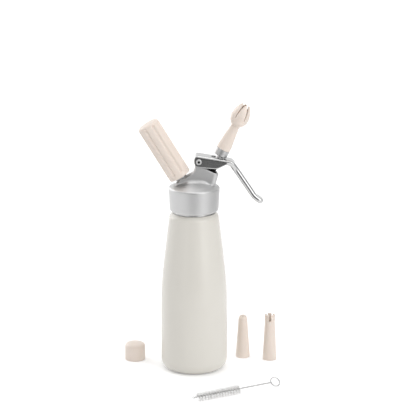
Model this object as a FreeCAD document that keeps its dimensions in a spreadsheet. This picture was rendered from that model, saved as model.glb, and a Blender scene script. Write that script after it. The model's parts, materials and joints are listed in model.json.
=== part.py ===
"""Whipped cream dispenser with its loose nozzles, neck cap and cleaning brush.

The bottle stands on the XY plane with its axis on Z and the lever hangs over +X. Everything on the
discharge valve is drawn along the valve's own axis, everything on the charger neck along the neck's
axis, and each loose piece in its own upright frame, before it is placed.
"""
import FreeCAD
import Part
import math
import os
import Sketcher

Vector = FreeCAD.Vector
FULL_TURN = 360

# Driving dimensions, in millimetres and degrees.
DIMENSIONS = {
    # bottle
    "bottle_height": 216,
    "belly_radius": 40,
    "base_corner": 12.5,
    "side_height": 80,
    "taper_radius": 37.1,
    "taper_height": 130,
    "shoulder_radius": 29.9,
    "shoulder_drop": 24.5,
    "shoulder_round": 4.5,
    "neck_length": 19.8,
    "neck_lip_radius": 26.4,
    "neck_root_radius": 24.4,
    "neck_bore_radius": 21.4,
    "bottle_wall": 1.5,
    "bottle_floor": 2,
    "neck_thread_depth": 1.55,
    "neck_thread_pitch": 3.5,
    "neck_thread_turns": 4.3,
    # gasket between the bottle's rim and the head
    "gasket_radius": 23.95,
    "gasket_height": 5.4,
    "gasket_recess_radius": 18.75,
    "gasket_hole_radius": 13.9,
    "gasket_flange": 1.8,
    # head casting
    "skirt_drop": 23.15,
    "skirt_wall": 3,
    "rim_radius": 30.9,
    "rim_height": 28.8,
    "dome_radius": 27,
    "dome_edge_height": 30.2,
    "dome_height": 36.2,
    "thread_clearance": 0.35,
    "fit_clearance": 0.05,
    "running_clearance": 0.35,
    "plug_depth": 3.2,
    "fin_thickness": 15,
    "fin_round": 1.2,
    "pivot_x": 5.6,
    "pivot_height": 61.7,
    "pivot_boss_radius": 4.9,
    "pivot_pin_radius": 2.5,
    # discharge valve, along its axis
    "valve_x": 21.3,
    "valve_height": 49,
    "valve_tilt": 27,
    "valve_face_reach": 9.2,
    "stem_radius": 3.5,
    "stem_rise": 25.9,
    "stem_bore_radius": 1.8,
    "seat_depth": 27,
    "guide_depth": 15,
    "flow_chamber": 4,
    "seat_bore_radius": 4.2,
    "seal_radius": 5.4,
    "seal_thickness": 2.5,
    "valve_nut_height": 4.4,
    "spindle_radius": 2.9,
    "pocket_radius": 6.5,
    "counterbore_radius": 5.2,
    "gland_depth": 3.5,
    "gland_flange_radius": 6.5,
    "gland_flange": 1.2,
    "gland_neck_radius": 4.4,
    "gland_neck_rise": 5.6,
    "stem_flange_radius": 4.9,
    "stem_flange": 1.5,
    "spring_radius": 4.25,
    "spring_wire_radius": 0.4,
    "spring_coils": 5,
    "o_ring_depth": 20,
    "o_ring_wire_radius": 0.5,
    "valve_stroke": 3.5,
    "collar_radius": 6,
    "collar_rise": 5,
    "collar_centre": 10.8,
    # lever, from its pivot
    "web_slope": 9.5,
    "web_thickness": 2.2,
    "lever_half_width": 10.5,
    "plate_thickness": 2.4,
    "lever_end_reach": 6,
    "plate_drop": 6.8,
    "plate_belly_reach": 22,
    "plate_belly_drop": 9.2,
    "plate_end_reach": 33.9,
    "slot_start": 15,
    "slot_length": 14.4,
    "slot_half_width": 4,
    "bend_reach": 41.3,
    "bar_angle": 33.8,
    "bar_length": 50.8,
    "bar_thickness": 7.3,
    "bar_half_width": 7,
    "paddle_angle": 53.6,
    "paddle_length": 12.4,
    "paddle_half_width": 8.2,
    "screw_head_radius": 3.4,
    "screw_head_height": 1.6,
    "screw_radius": 1.5,
    "hex_key_size": 3,
    # charger neck, along its axis
    "neck_x": -14.6,
    "neck_height": 38.9,
    "neck_tilt": 31.5,
    "pad_radius": 7.2,
    "pad_height": 1.5,
    "washer_thickness": 0.8,
    "shank_radius": 6,
    "shank_depth": 6,
    "collar_shank_radius": 6.9,
    "charger_thread_start": 7,
    "charger_thread_end": 20,
    "charger_thread_root": 9.2,
    "charger_thread_depth": 0.95,
    "charger_thread_pitch": 1.8,
    "vent_flat_distance": 8.9,
    "vent_turn": 23.5,
    "charger_socket_radius": 4.6,
    "charger_mouth_depth": 4,
    "socket_floor": 8.5,
    "pin_seal_thickness": 2,
    "pin_radius": 0.9,
    "pin_base_radius": 2,
    "inlet_valve_radius": 3.5,
    "inlet_valve_height": 3,
    "gas_channel_radius": 1.5,
    # gas charger and its holder, along the neck's axis
    "charger_tip": 10.6,
    "charger_length": 65,
    "charger_radius": 8.9,
    "charger_neck_radius": 4.15,
    "charger_wall": 1.3,
    "holder_start": 4,
    "holder_end": 80,
    "holder_radius": 13.75,
    "holder_thread_depth": 17.6,
    "flute_radius": 2.6,
    "flute_offset": 1.35,
    "flute_margin": 5.2,
    "flute_end_margin": 2.6,
    # nozzle adapter, from its foot
    "adapter_rise": 21.2,
    "adapter_radius": 8.5,
    "adapter_height": 8.5,
    "adapter_chamfer": 0.8,
    "adapter_socket_depth": 4.8,
    "adapter_tip_radius": 6.05,
    "adapter_tip_length": 6.5,
    "adapter_bore_radius": 2.2,
    "adapter_ring_radius": 5.85,
    "adapter_ring_wire": 1.1,
    "adapter_ring_groove": 2.5,
    # nozzles, from their wide ends
    "nozzle_socket_depth": 10,
    "nozzle_seal_radius": 7.1,
    "nozzle_wall": 1.4,
    "tulip_base_radius": 8.45,
    "tulip_neck_radius": 5.25,
    "tulip_neck_height": 32,
    "tulip_bulb_radius": 11.3,
    "tulip_bulb_height": 44,
    "tulip_tip_radius": 5.3,
    "tulip_length": 60,
    "star_base_radius": 8.65,
    "star_tip_radius": 5.5,
    "star_length": 54,
    "star_slit": 0.9,
    "crown_base_radius": 8.5,
    "crown_tip_radius": 6.1,
    "crown_length": 57.5,
    "crown_slot_width": 2.7,
    "crown_slot_length": 8.2,
    "star_x": 60,
    "star_y": 40,
    "crown_x": 93,
    "crown_y": 30,
    # neck cap
    "cap_radius": 12.45,
    "cap_height": 22,
    "cap_depth": 14,
    "cap_x": -73,
    "cap_y": 30,
    # cleaning brush, from its tip
    "brush_x": -1.6,
    "brush_y": -133.7,
    "brush_heading": 30.8,
    "brush_length": 121,
    "bristle_radius": 5.85,
    "bristle_start": 6.5,
    "bristle_turns": 15,
    "bristle_pitch": 3.9,
    "brush_wire_radius": 0.95,
    "brush_loop_radius": 5.8,
    "brush_loop_wire": 0.75,
    "brush_loop_turn": 45,
}


class Size:
    """A number together with the spreadsheet expression that it comes from."""

    def __init__(self, value, text):
        self.value = value
        self.text = text

    def __add__(self, other):
        other = as_size(other)
        return Size(self.value + other.value, f"({self.text} + {other.text})")

    def __sub__(self, other):
        other = as_size(other)
        return Size(self.value - other.value, f"({self.text} - {other.text})")

    def __mul__(self, other):
        other = as_size(other)
        return Size(self.value * other.value, f"({self.text} * {other.text})")

    def __truediv__(self, other):
        other = as_size(other)
        return Size(self.value / other.value, f"({self.text} / {other.text})")

    def __radd__(self, other):
        return as_size(other) + self

    def __neg__(self):
        return as_size(0) - self


def as_size(value):
    return value if isinstance(value, Size) else Size(float(value), f"{float(value):.6f}")


def sine(angle):
    return Size(math.sin(math.radians(angle.value)), f"sin({angle.text} * 1 deg)")


def cosine(angle):
    return Size(math.cos(math.radians(angle.value)), f"cos({angle.text} * 1 deg)")


def root(size):
    return Size(math.sqrt(size.value), f"sqrt({size.text})")


class Sizes:
    """The driving dimensions, held in the document's spreadsheet and read by name."""

    def __init__(self, doc):
        sheet = doc.addObject("Spreadsheet::Sheet", "sizes")
        for row, (name, value) in enumerate(DIMENSIONS.items(), start=1):
            sheet.set(f"A{row}", name)
            sheet.set(f"B{row}", str(value))
            sheet.setAlias(f"B{row}", name)
            setattr(self, name, Size(float(value), f"sizes.{name}"))
        doc.recompute()


class Corner:
    """One corner of an outline.

    rounding is the radius that rounds it between two straight edges; arc is the radius of the edge
    that leaves it, positive where that edge bulges away from the solid on its left.
    """

    def __init__(self, x, y, rounding=None, arc=None):
        self.x = as_size(x)
        self.y = as_size(y)
        self.rounding = None if rounding is None else as_size(rounding)
        self.arc = None if arc is None else as_size(arc)
        self.point = Vector(self.x.value, self.y.value, 0)


def bind(target, path, size):
    """Give a property its value and tie it to the spreadsheet where it depends on it."""
    if "sizes." in size.text:
        target.setExpression(path, size.text)


def constrain(sketch, size, *arguments):
    index = sketch.addConstraint(Sketcher.Constraint(*arguments, size.value))
    bind(sketch, f"Constraints[{index}]", size)


def origin_feature(body, role):
    return [item for item in body.Origin.OriginFeatures if item.Role == role][0]


def new_sketch(body, name, plane, shift=(0, 0), level=0, turn=0):
    """A sketch on one of the body's planes, moved in that plane, lifted off it and turned."""
    sketch = body.newObject("Sketcher::SketchObject", name)
    sketch.AttachmentSupport = (origin_feature(body, plane), [""])
    sketch.MapMode = "FlatFace"
    along, up, off = as_size(shift[0]), as_size(shift[1]), as_size(level)
    turn = as_size(turn)
    spin = FreeCAD.Rotation(Vector(0, 0, 1), turn.value)
    sketch.AttachmentOffset = FreeCAD.Placement(Vector(along.value, up.value, off.value), spin)
    bind(sketch, "AttachmentOffset.Base.x", along)
    bind(sketch, "AttachmentOffset.Base.y", up)
    bind(sketch, "AttachmentOffset.Base.z", off)
    bind(sketch, "AttachmentOffset.Rotation.Angle", turn)
    return sketch


def rounded_corner(before, corner, after):
    """The two tangent points, the centre and the turning side of a rounded corner."""
    arriving = (corner.point - before.point).normalize()
    leaving = (after.point - corner.point).normalize()
    side = 1 if arriving.cross(leaving).z > 0 else -1
    reach = corner.rounding.value * math.tan(arriving.getAngle(leaving) / 2)
    first = corner.point - arriving * reach
    last = corner.point + leaving * reach
    centre = first + Vector(-arriving.y, arriving.x, 0) * (side * corner.rounding.value)
    return first, last, centre, side


def bulged_edge_centre(start, end, radius):
    """The centre of the edge between two points, on the left where the radius is positive."""
    chord = end - start
    height = math.sqrt(max(radius * radius - chord.Length * chord.Length / 4, 0))
    left = Vector(-chord.y, chord.x, 0).normalize()
    return (start + end) * 0.5 + left * math.copysign(height, radius)


def add_arc(sketch, centre, start, end, counterclockwise):
    """Add an arc from start to end; return its index and which of its ends they are."""
    first, last = (start, end) if counterclockwise else (end, start)
    first_angle = math.atan2(first.y - centre.y, first.x - centre.x)
    last_angle = math.atan2(last.y - centre.y, last.x - centre.x)
    circle = Part.Circle(centre, Vector(0, 0, 1), (start - centre).Length)
    index = sketch.addGeometry(Part.ArcOfCircle(circle, first_angle, last_angle), False)
    return (index, 1, 2) if counterclockwise else (index, 2, 1)


def draw_outline(sketch, corners):
    """Draw a closed outline, with every corner, rounding and arc tied to the spreadsheet."""
    count = len(corners)
    starts, ends, blends = [], [], []
    for i, corner in enumerate(corners):
        if corner.rounding is None:
            starts.append(corner.point)
            ends.append(corner.point)
            blends.append(None)
        else:
            first, last, centre, side = rounded_corner(corners[i - 1], corner, corners[(i + 1) % count])
            starts.append(last)
            ends.append(first)
            blends.append((centre, side))
    edges = []
    for i, corner in enumerate(corners):
        start, end = starts[i], ends[(i + 1) % count]
        if corner.arc is None:
            edges.append((sketch.addGeometry(Part.LineSegment(start, end), False), 1, 2))
        else:
            centre = bulged_edge_centre(start, end, corner.arc.value)
            edges.append(add_arc(sketch, centre, start, end, corner.arc.value > 0))
    for i, corner in enumerate(corners):
        before, after = edges[i - 1], edges[i]
        if blends[i] is None:
            sketch.addConstraint(Sketcher.Constraint("Coincident", before[0], before[2], after[0], after[1]))
            constrain(sketch, corner.x, "DistanceX", -1, 1, after[0], after[1])
            constrain(sketch, corner.y, "DistanceY", -1, 1, after[0], after[1])
        else:
            centre, side = blends[i]
            blend = add_arc(sketch, centre, ends[i], starts[i], side > 0)
            apex = sketch.addGeometry(Part.Point(corner.point), True)
            constrain(sketch, corner.x, "DistanceX", -1, 1, apex, 1)
            constrain(sketch, corner.y, "DistanceY", -1, 1, apex, 1)
            sketch.addConstraint(Sketcher.Constraint("PointOnObject", apex, 1, before[0]))
            sketch.addConstraint(Sketcher.Constraint("PointOnObject", apex, 1, after[0]))
            sketch.addConstraint(Sketcher.Constraint("Tangent", before[0], before[2], blend[0], blend[1]))
            sketch.addConstraint(Sketcher.Constraint("Tangent", blend[0], blend[2], after[0], after[1]))
            constrain(sketch, corner.rounding, "Radius", blend[0])
        if corner.arc is not None:
            radius = corner.arc if corner.arc.value > 0 else -corner.arc
            constrain(sketch, radius, "Radius", after[0])


def draw_circle(sketch, x, y, radius):
    x, y, radius = as_size(x), as_size(y), as_size(radius)
    circle = Part.Circle(Vector(x.value, y.value, 0), Vector(0, 0, 1), radius.value)
    index = sketch.addGeometry(circle, False)
    constrain(sketch, x, "DistanceX", -1, 1, index, 3)
    constrain(sketch, y, "DistanceY", -1, 1, index, 3)
    constrain(sketch, radius, "Radius", index)


def new_body(doc, label):
    body = doc.addObject("PartDesign::Body", label)
    body.Label = label
    return body


def settle(body, feature, cut, volume_before):
    """Recompute after a feature and make sure that it added or removed material."""
    body.Document.recompute()
    change = body.Shape.Volume - volume_before
    if (cut and change >= 0) or (not cut and change <= 0):
        raise RuntimeError(f"{body.Label}: {feature.Name} changed nothing")
    return feature


def volume_of(body):
    return 0.0 if body.Tip is None or body.Shape.isNull() else body.Shape.Volume


def revolve(body, name, corners, cut=False, shift=(0, 0), turn=0):
    """Turn an outline about the upright axis of its sketch, to add or to cut."""
    volume_before = volume_of(body)
    sketch = new_sketch(body, name + "_outline", "XZ_Plane", shift=shift, turn=turn)
    draw_outline(sketch, corners)
    feature = body.newObject("PartDesign::Groove" if cut else "PartDesign::Revolution", name)
    feature.Profile = (sketch, [""])
    feature.ReferenceAxis = (sketch, ["V_Axis"])
    feature.Angle = FULL_TURN
    return settle(body, feature, cut, volume_before)


def extrude(body, name, sketch, length, cut=False, symmetric=False, backwards=False):
    """Push a sketch straight out of its plane, to add or to cut."""
    volume_before = volume_of(body)
    feature = body.newObject("PartDesign::Pocket" if cut else "PartDesign::Pad", name)
    feature.Profile = (sketch, [""])
    feature.SideType = "Symmetric" if symmetric else "One side"
    length = as_size(length)
    feature.Length = length.value
    bind(feature, "Length", length)
    feature.Reversed = backwards
    return settle(body, feature, cut, volume_before)


def wind(body, name, corners, pitch, turns, cut=False):
    """Wind a small outline up the body's axis, as a thread, a coil or a groove."""
    volume_before = volume_of(body)
    sketch = new_sketch(body, name + "_outline", "XZ_Plane")
    draw_outline(sketch, corners)
    return wind_sketch(body, name, sketch, pitch, turns, cut, volume_before)


def wind_sketch(body, name, sketch, pitch, turns, cut, volume_before):
    kind = "PartDesign::SubtractiveHelix" if cut else "PartDesign::AdditiveHelix"
    feature = body.newObject(kind, name)
    feature.Profile = (sketch, [""])
    feature.ReferenceAxis = (sketch, ["V_Axis"])
    feature.Mode = "pitch-turns-angle"
    feature.Pitch = pitch.value
    bind(feature, "Pitch", pitch)
    turns = as_size(turns)
    feature.Turns = turns.value
    bind(feature, "Turns", turns)
    return settle(body, feature, cut, volume_before)


def ring_pattern(body, feature, count):
    """Repeat a feature about the body's upright axis."""
    pattern = body.newObject("PartDesign::PolarPattern", feature.Name + "_ring")
    pattern.Originals = [feature]
    pattern.Axis = (origin_feature(body, "Z_Axis"), [""])
    pattern.Angle = FULL_TURN
    pattern.Occurrences = count
    body.Tip = pattern
    body.Document.recompute()
    return pattern


def round_edges(body, name, radius, wanted):
    """Round the edges of the body that the wanted test picks."""
    body.Document.recompute()
    base = body.Tip
    names = [f"Edge{i}" for i, edge in enumerate(base.Shape.Edges, start=1) if wanted(edge)]
    feature = body.newObject("PartDesign::Fillet", name)
    feature.Base = (base, names)
    feature.Radius = radius.value
    bind(feature, "Radius", radius)
    body.Document.recompute()
    return feature


def place(item, x=0, y=0, z=0, rotation=None):
    x, y, z = as_size(x), as_size(y), as_size(z)
    item.Placement = FreeCAD.Placement(Vector(x.value, y.value, z.value), rotation or FreeCAD.Rotation())
    bind(item, "Placement.Base.x", x)
    bind(item, "Placement.Base.y", y)
    bind(item, "Placement.Base.z", z)


def leaning(degrees, spin=0):
    """Lean an upright piece towards +X, after turning it about its own axis."""
    lean = FreeCAD.Rotation(Vector(0, 1, 0), degrees)
    return lean.multiply(FreeCAD.Rotation(Vector(0, 0, 1), spin))


class Dispenser:
    """Builds every piece of the dispenser in one document."""

    def __init__(self):
        self.doc = FreeCAD.newDocument("cream_dispenser")
        self.size = Sizes(self.doc)
        size = self.size
        self.head_bottom = size.bottle_height + size.gasket_height - size.skirt_drop
        self.thread_radius = size.neck_root_radius + size.neck_thread_depth
        self.skirt_bore = self.thread_radius + size.thread_clearance
        self.seat_height = size.skirt_drop
        self.web_under = size.pivot_boss_radius + size.running_clearance * 0.7
        self.web_top = self.web_under + size.web_thickness
        self.holder_bore = (size.charger_thread_root + size.charger_thread_depth
                            + size.running_clearance * 0.5)

    # Frames of the leaning pieces.

    def on_valve_axis(self, body, rise=0):
        size = self.size
        rise = as_size(rise)
        place(body, size.valve_x + sine(size.valve_tilt) * rise, 0,
              self.head_bottom + size.valve_height + cosine(size.valve_tilt) * rise,
              leaning(size.valve_tilt.value))

    def on_neck_axis(self, body, spin=0):
        size = self.size
        place(body, size.neck_x, 0, self.head_bottom + size.neck_height,
              leaning(-size.neck_tilt.value, spin))

    def at_pivot(self, body):
        size = self.size
        place(body, size.pivot_x, 0, self.head_bottom + size.pivot_height)

    # Bottle and gasket.

    def bottle(self):
        size = self.size
        body = new_body(self.doc, "bottle")
        wall = size.bottle_wall
        drop = size.taper_height - size.side_height
        inset = size.belly_radius - size.taper_radius
        side_arc = (drop * drop + inset * inset) / (inset * 2)
        neck_base = size.bottle_height - size.neck_length
        shoulder_height = size.bottle_height - size.shoulder_drop
        rim_chamfer = size.bottle_wall * 0.4
        shoulder_slope = size.bottle_wall * 1.6
        revolve(body, "shell", [
            Corner(0, 0),
            Corner(size.belly_radius, 0, rounding=size.base_corner),
            Corner(size.belly_radius, size.side_height, arc=side_arc),
            Corner(size.taper_radius, size.taper_height),
            Corner(size.shoulder_radius, shoulder_height, rounding=size.shoulder_round),
            Corner(size.neck_lip_radius, neck_base - rim_chamfer * 0.5, rounding=rim_chamfer),
            Corner(size.neck_root_radius, neck_base),
            Corner(size.neck_root_radius, size.bottle_height - rim_chamfer),
            Corner(size.neck_root_radius - rim_chamfer, size.bottle_height),
            Corner(size.neck_bore_radius, size.bottle_height),
            Corner(size.neck_bore_radius, neck_base - shoulder_slope),
            Corner(size.shoulder_radius - wall, shoulder_height - wall * 0.7,
                   rounding=size.shoulder_round),
            Corner(size.taper_radius - wall, size.taper_height, arc=-(side_arc - wall)),
            Corner(size.belly_radius - wall, size.side_height),
            Corner(size.belly_radius - wall, size.bottle_floor, rounding=size.base_corner - wall),
            Corner(0, size.bottle_floor),
        ])
        pitch = size.neck_thread_pitch
        self.ridge(body, "neck_thread", size.neck_root_radius, size.neck_thread_depth,
                   neck_base + pitch * 0.45, pitch, size.neck_thread_turns)
        place(body)
        return body

    def ridge(self, body, name, root_radius, depth, start, pitch, turns):
        """An outside thread: a blunt ridge that stands on the root radius."""
        foot = pitch * 0.33
        crest = pitch * 0.1
        inside = root_radius - depth * 0.15
        return wind(body, name, [
            Corner(inside, start - foot),
            Corner(root_radius + depth, start - crest),
            Corner(root_radius + depth, start + crest),
            Corner(inside, start + foot),
        ], pitch, turns)

    def head_gasket(self):
        size = self.size
        body = new_body(self.doc, "head_gasket")
        lip = size.gasket_flange * 0.3
        revolve(body, "ring", [
            Corner(size.gasket_hole_radius, 0),
            Corner(size.gasket_radius, 0, rounding=lip),
            Corner(size.gasket_radius, size.gasket_height, rounding=lip),
            Corner(size.gasket_recess_radius, size.gasket_height, rounding=lip),
            Corner(size.gasket_recess_radius, size.gasket_flange, rounding=lip),
            Corner(size.gasket_hole_radius, size.gasket_flange, rounding=lip),
        ])
        place(body, 0, 0, size.bottle_height)
        return body

    # Head.

    def head_body(self):
        size = self.size
        body = new_body(self.doc, "head_body")
        plug_bottom = self.seat_height - size.plug_depth
        bore_step = self.seat_height - size.gasket_height - size.bottle_wall * 0.5
        seat_bore = size.neck_root_radius + size.fit_clearance
        dome_rise = size.dome_height - size.dome_edge_height
        dome_arc = (size.dome_radius * size.dome_radius + dome_rise * dome_rise) / (dome_rise * 2)
        revolve(body, "cap", [
            Corner(0, plug_bottom),
            Corner(size.gasket_recess_radius - size.running_clearance, plug_bottom),
            Corner(size.gasket_recess_radius - size.running_clearance, self.seat_height),
            Corner(seat_bore, self.seat_height),
            Corner(seat_bore, bore_step),
            Corner(self.skirt_bore, bore_step - (self.skirt_bore - seat_bore)),
            Corner(self.skirt_bore, size.fin_round),
            Corner(self.skirt_bore + size.fin_round * 0.6, 0),
            Corner(self.skirt_bore + size.skirt_wall, 0, rounding=size.fin_round * 1.7),
            Corner(size.rim_radius, size.rim_height, rounding=size.fin_round * 2),
            Corner(size.dome_radius, size.dome_edge_height, arc=dome_arc),
            Corner(0, size.dome_height),
        ])
        self.head_fin(body)
        revolve(body, "neck_pad", [
            Corner(0, -size.pad_height * 4),
            Corner(size.pad_radius, -size.pad_height * 4),
            Corner(size.pad_radius, size.pad_height, rounding=size.fin_round * 0.5),
            Corner(0, size.pad_height),
        ], shift=(size.neck_x, size.neck_height), turn=size.neck_tilt)
        self.head_bores(body)
        place(body, 0, 0, self.head_bottom)
        return body

    def head_fin(self, body):
        """The upright slab that carries the valve face, the lever's pivot and the neck's pad."""
        size = self.size
        slope_x, slope_z = cosine(size.neck_tilt), sine(size.neck_tilt)
        face_x, face_z = cosine(size.valve_tilt), -sine(size.valve_tilt)
        left = size.pivot_x - size.pivot_boss_radius
        right = size.pivot_x + size.pivot_boss_radius + size.running_clearance
        pad_end = -size.pad_radius * 1.15
        up_to_left = (left - size.neck_x) / slope_x
        back_to_right = (right - size.valve_x) / face_x
        boss_top = size.pivot_height + size.pivot_boss_radius
        sketch = new_sketch(body, "fin_outline", "XZ_Plane")
        draw_outline(sketch, [
            Corner(size.neck_x + slope_x * pad_end, self.seat_height + size.plug_depth),
            Corner(size.dome_radius * 0.9, self.seat_height + size.plug_depth),
            Corner(size.valve_x + face_x * size.valve_face_reach,
                   size.valve_height + face_z * size.valve_face_reach, rounding=size.fin_round),
            Corner(right, size.valve_height + face_z * back_to_right, rounding=size.fin_round * 2),
            Corner(right, boss_top, rounding=size.pivot_boss_radius),
            Corner(left, boss_top, rounding=size.pivot_boss_radius),
            Corner(left, size.neck_height + slope_z * up_to_left, rounding=size.fin_round * 6),
            Corner(size.neck_x + slope_x * pad_end, size.neck_height + slope_z * pad_end),
        ])
        extrude(body, "fin", sketch, size.fin_thickness, symmetric=True)
        half = size.fin_thickness.value / 2
        face_level = size.dome_height.value
        round_edges(body, "fin_edges", size.fin_round, lambda edge: (
            abs(abs(edge.CenterOfMass.y) - half) < 0.01 and edge.BoundBox.ZMin > face_level))

    def head_bores(self, body):
        """The valve's stepped bore, the neck's hole and gas way, the pivot hole and the thread."""
        size = self.size
        clear = size.fit_clearance
        revolve(body, "valve_bore", [
            Corner(0, size.pad_height),
            Corner(0, -size.seat_depth * 1.5),
            Corner(size.pocket_radius, -size.seat_depth * 1.5),
            Corner(size.pocket_radius, -size.seat_depth),
            Corner(size.seat_bore_radius, -size.seat_depth),
            Corner(size.seat_bore_radius, size.flow_chamber - size.seat_depth),
            Corner(size.stem_radius + clear, size.flow_chamber - size.seat_depth),
            Corner(size.stem_radius + clear, -size.guide_depth),
            Corner(size.counterbore_radius, -size.guide_depth),
            Corner(size.counterbore_radius, size.pad_height),
        ], cut=True, shift=(size.valve_x, size.valve_height), turn=-size.valve_tilt)
        chamber_top = -size.shank_depth
        chamber_end = chamber_top - size.inlet_valve_height - size.running_clearance
        revolve(body, "neck_hole", [
            Corner(0, size.pad_height * 2),
            Corner(0, chamber_end),
            Corner(size.inlet_valve_radius + clear, chamber_end),
            Corner(size.inlet_valve_radius + clear, chamber_top),
            Corner(size.shank_radius + clear, chamber_top),
            Corner(size.shank_radius + clear, size.pad_height * 2),
        ], cut=True, shift=(size.neck_x, size.neck_height), turn=size.neck_tilt)
        way_x = size.neck_x - sine(size.neck_tilt) * chamber_end
        way_top = size.neck_height + cosine(size.neck_tilt) * chamber_end
        plug_bottom = self.seat_height - size.plug_depth
        sketch = new_sketch(body, "gas_way_outline", "XY_Plane", level=plug_bottom)
        draw_circle(sketch, way_x, 0, size.gas_channel_radius)
        extrude(body, "gas_way", sketch, way_top - plug_bottom, cut=True, backwards=True)
        sketch = new_sketch(body, "pivot_hole_outline", "XZ_Plane")
        draw_circle(sketch, size.pivot_x, size.pivot_height, size.pivot_pin_radius + clear)
        extrude(body, "pivot_hole", sketch, size.fin_thickness * 2, cut=True, symmetric=True)
        depth = size.neck_thread_depth * 0.5
        pitch = size.neck_thread_pitch
        wind(body, "skirt_thread", [
            Corner(self.skirt_bore - depth * 0.3, pitch),
            Corner(self.skirt_bore + depth, pitch * 1.2),
            Corner(self.skirt_bore + depth, pitch * 1.4),
            Corner(self.skirt_bore - depth * 0.3, pitch * 1.6),
        ], pitch, size.neck_thread_turns - 1.4, cut=True)

    # Charger neck and what is in it.

    def charger_neck(self):
        size = self.size
        body = new_body(self.doc, "charger_neck")
        clear = size.fit_clearance
        foot = size.pad_height + size.washer_thickness
        chamfer = size.charger_thread_depth
        mouth = size.collar_shank_radius
        revolve(body, "barrel", [
            Corner(size.pin_radius, -size.shank_depth),
            Corner(size.shank_radius, -size.shank_depth, rounding=chamfer * 0.5),
            Corner(size.shank_radius, foot),
            Corner(size.collar_shank_radius, foot),
            Corner(size.collar_shank_radius, size.charger_thread_start),
            Corner(size.charger_thread_root, size.charger_thread_start),
            Corner(size.charger_thread_root, size.charger_thread_end - chamfer),
            Corner(size.charger_thread_root - chamfer, size.charger_thread_end),
            Corner(mouth, size.charger_thread_end),
            Corner(size.charger_socket_radius, size.charger_thread_end - size.charger_mouth_depth),
            Corner(size.charger_socket_radius, size.socket_floor),
            Corner(size.pin_base_radius + clear, size.socket_floor),
            Corner(size.pin_base_radius + clear, size.washer_thickness),
            Corner(size.pin_radius, size.washer_thickness),
        ])
        pitch = size.charger_thread_pitch
        length = size.charger_thread_end - size.charger_thread_start - pitch * 1.4
        self.ridge(body, "holder_thread", size.charger_thread_root, size.charger_thread_depth,
                   size.charger_thread_start + pitch * 0.5, pitch, length / pitch)
        reach = size.charger_thread_root * 2
        sketch = new_sketch(body, "vent_outline", "XY_Plane", level=size.charger_thread_start,
                            turn=size.vent_turn)
        draw_outline(sketch, [
            Corner(-reach * 0.5, -reach),
            Corner(reach * 0.5, -reach),
            Corner(reach * 0.5, -size.vent_flat_distance),
            Corner(-reach * 0.5, -size.vent_flat_distance),
        ])
        height = size.charger_thread_end - size.charger_thread_start
        vent = extrude(body, "vent_flat", sketch, height * 1.1, cut=True, backwards=True)
        ring_pattern(body, vent, 3)
        self.on_neck_axis(body)
        return body

    def neck_washer(self):
        size = self.size
        body = new_body(self.doc, "neck_washer")
        revolve(body, "washer", [
            Corner(size.shank_radius + size.fit_clearance, size.pad_height),
            Corner(size.pad_radius - size.running_clearance, size.pad_height),
            Corner(size.pad_radius - size.running_clearance, size.pad_height + size.washer_thickness),
            Corner(size.shank_radius + size.fit_clearance, size.pad_height + size.washer_thickness),
        ])
        self.on_neck_axis(body)
        return body

    def piercing_pin(self):
        size = self.size
        body = new_body(self.doc, "piercing_pin")
        bore = size.pin_radius * 0.4
        point = size.charger_tip + size.pin_seal_thickness
        revolve(body, "pin", [
            Corner(bore, size.washer_thickness),
            Corner(size.pin_base_radius, size.washer_thickness),
            Corner(size.pin_base_radius, size.socket_floor),
            Corner(size.pin_radius, size.socket_floor),
            Corner(size.pin_radius, point),
            Corner(bore, point + size.pin_radius * 1.5),
        ])
        self.on_neck_axis(body)
        return body

    def pin_seal(self):
        size = self.size
        body = new_body(self.doc, "pin_seal")
        revolve(body, "seal", [
            Corner(size.pin_radius + size.fit_clearance, size.socket_floor),
            Corner(size.charger_socket_radius - size.fit_clearance, size.socket_floor),
            Corner(size.charger_socket_radius - size.fit_clearance,
                   size.socket_floor + size.pin_seal_thickness),
            Corner(size.pin_radius + size.fit_clearance, size.socket_floor + size.pin_seal_thickness),
        ])
        self.on_neck_axis(body)
        return body

    def inlet_valve(self):
        """A rubber duckbill under the neck: gas opens its slit and cream cannot come back."""
        size = self.size
        body = new_body(self.doc, "inlet_valve")
        top = -size.shank_depth
        foot = top - size.inlet_valve_height
        wall = size.inlet_valve_radius * 0.3
        revolve(body, "duckbill", [
            Corner(wall * 0.3, foot),
            Corner(wall, foot),
            Corner(size.inlet_valve_radius, top - wall),
            Corner(size.inlet_valve_radius, top),
            Corner(size.inlet_valve_radius - wall, top),
            Corner(size.inlet_valve_radius - wall, top - wall * 0.5),
        ])
        self.on_neck_axis(body)
        return body

    def gas_charger(self):
        size = self.size
        body = new_body(self.doc, "gas_charger")
        wall = size.charger_wall
        tip = size.charger_tip
        neck_end = tip + size.charger_neck_radius * 1.5
        shoulder = tip + size.charger_radius * 1.45
        foot = tip + size.charger_length
        hole = size.pin_radius + size.fit_clearance
        revolve(body, "shell", [
            Corner(hole, tip),
            Corner(size.charger_neck_radius, tip, rounding=wall * 0.4),
            Corner(size.charger_neck_radius, neck_end, rounding=wall),
            Corner(size.charger_radius, shoulder, rounding=size.charger_radius * 0.6),
            Corner(size.charger_radius, foot, rounding=size.charger_radius * 0.7),
            Corner(0, foot),
            Corner(0, foot - wall),
            Corner(size.charger_radius - wall, foot - wall, rounding=size.charger_radius * 0.7 - wall),
            Corner(size.charger_radius - wall, shoulder + wall * 0.6, rounding=wall),
            Corner(size.charger_neck_radius - wall, neck_end + wall * 0.6),
            Corner(size.charger_neck_radius - wall, tip + wall),
            Corner(hole, tip + wall),
        ])
        self.on_neck_axis(body)
        return body

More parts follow.
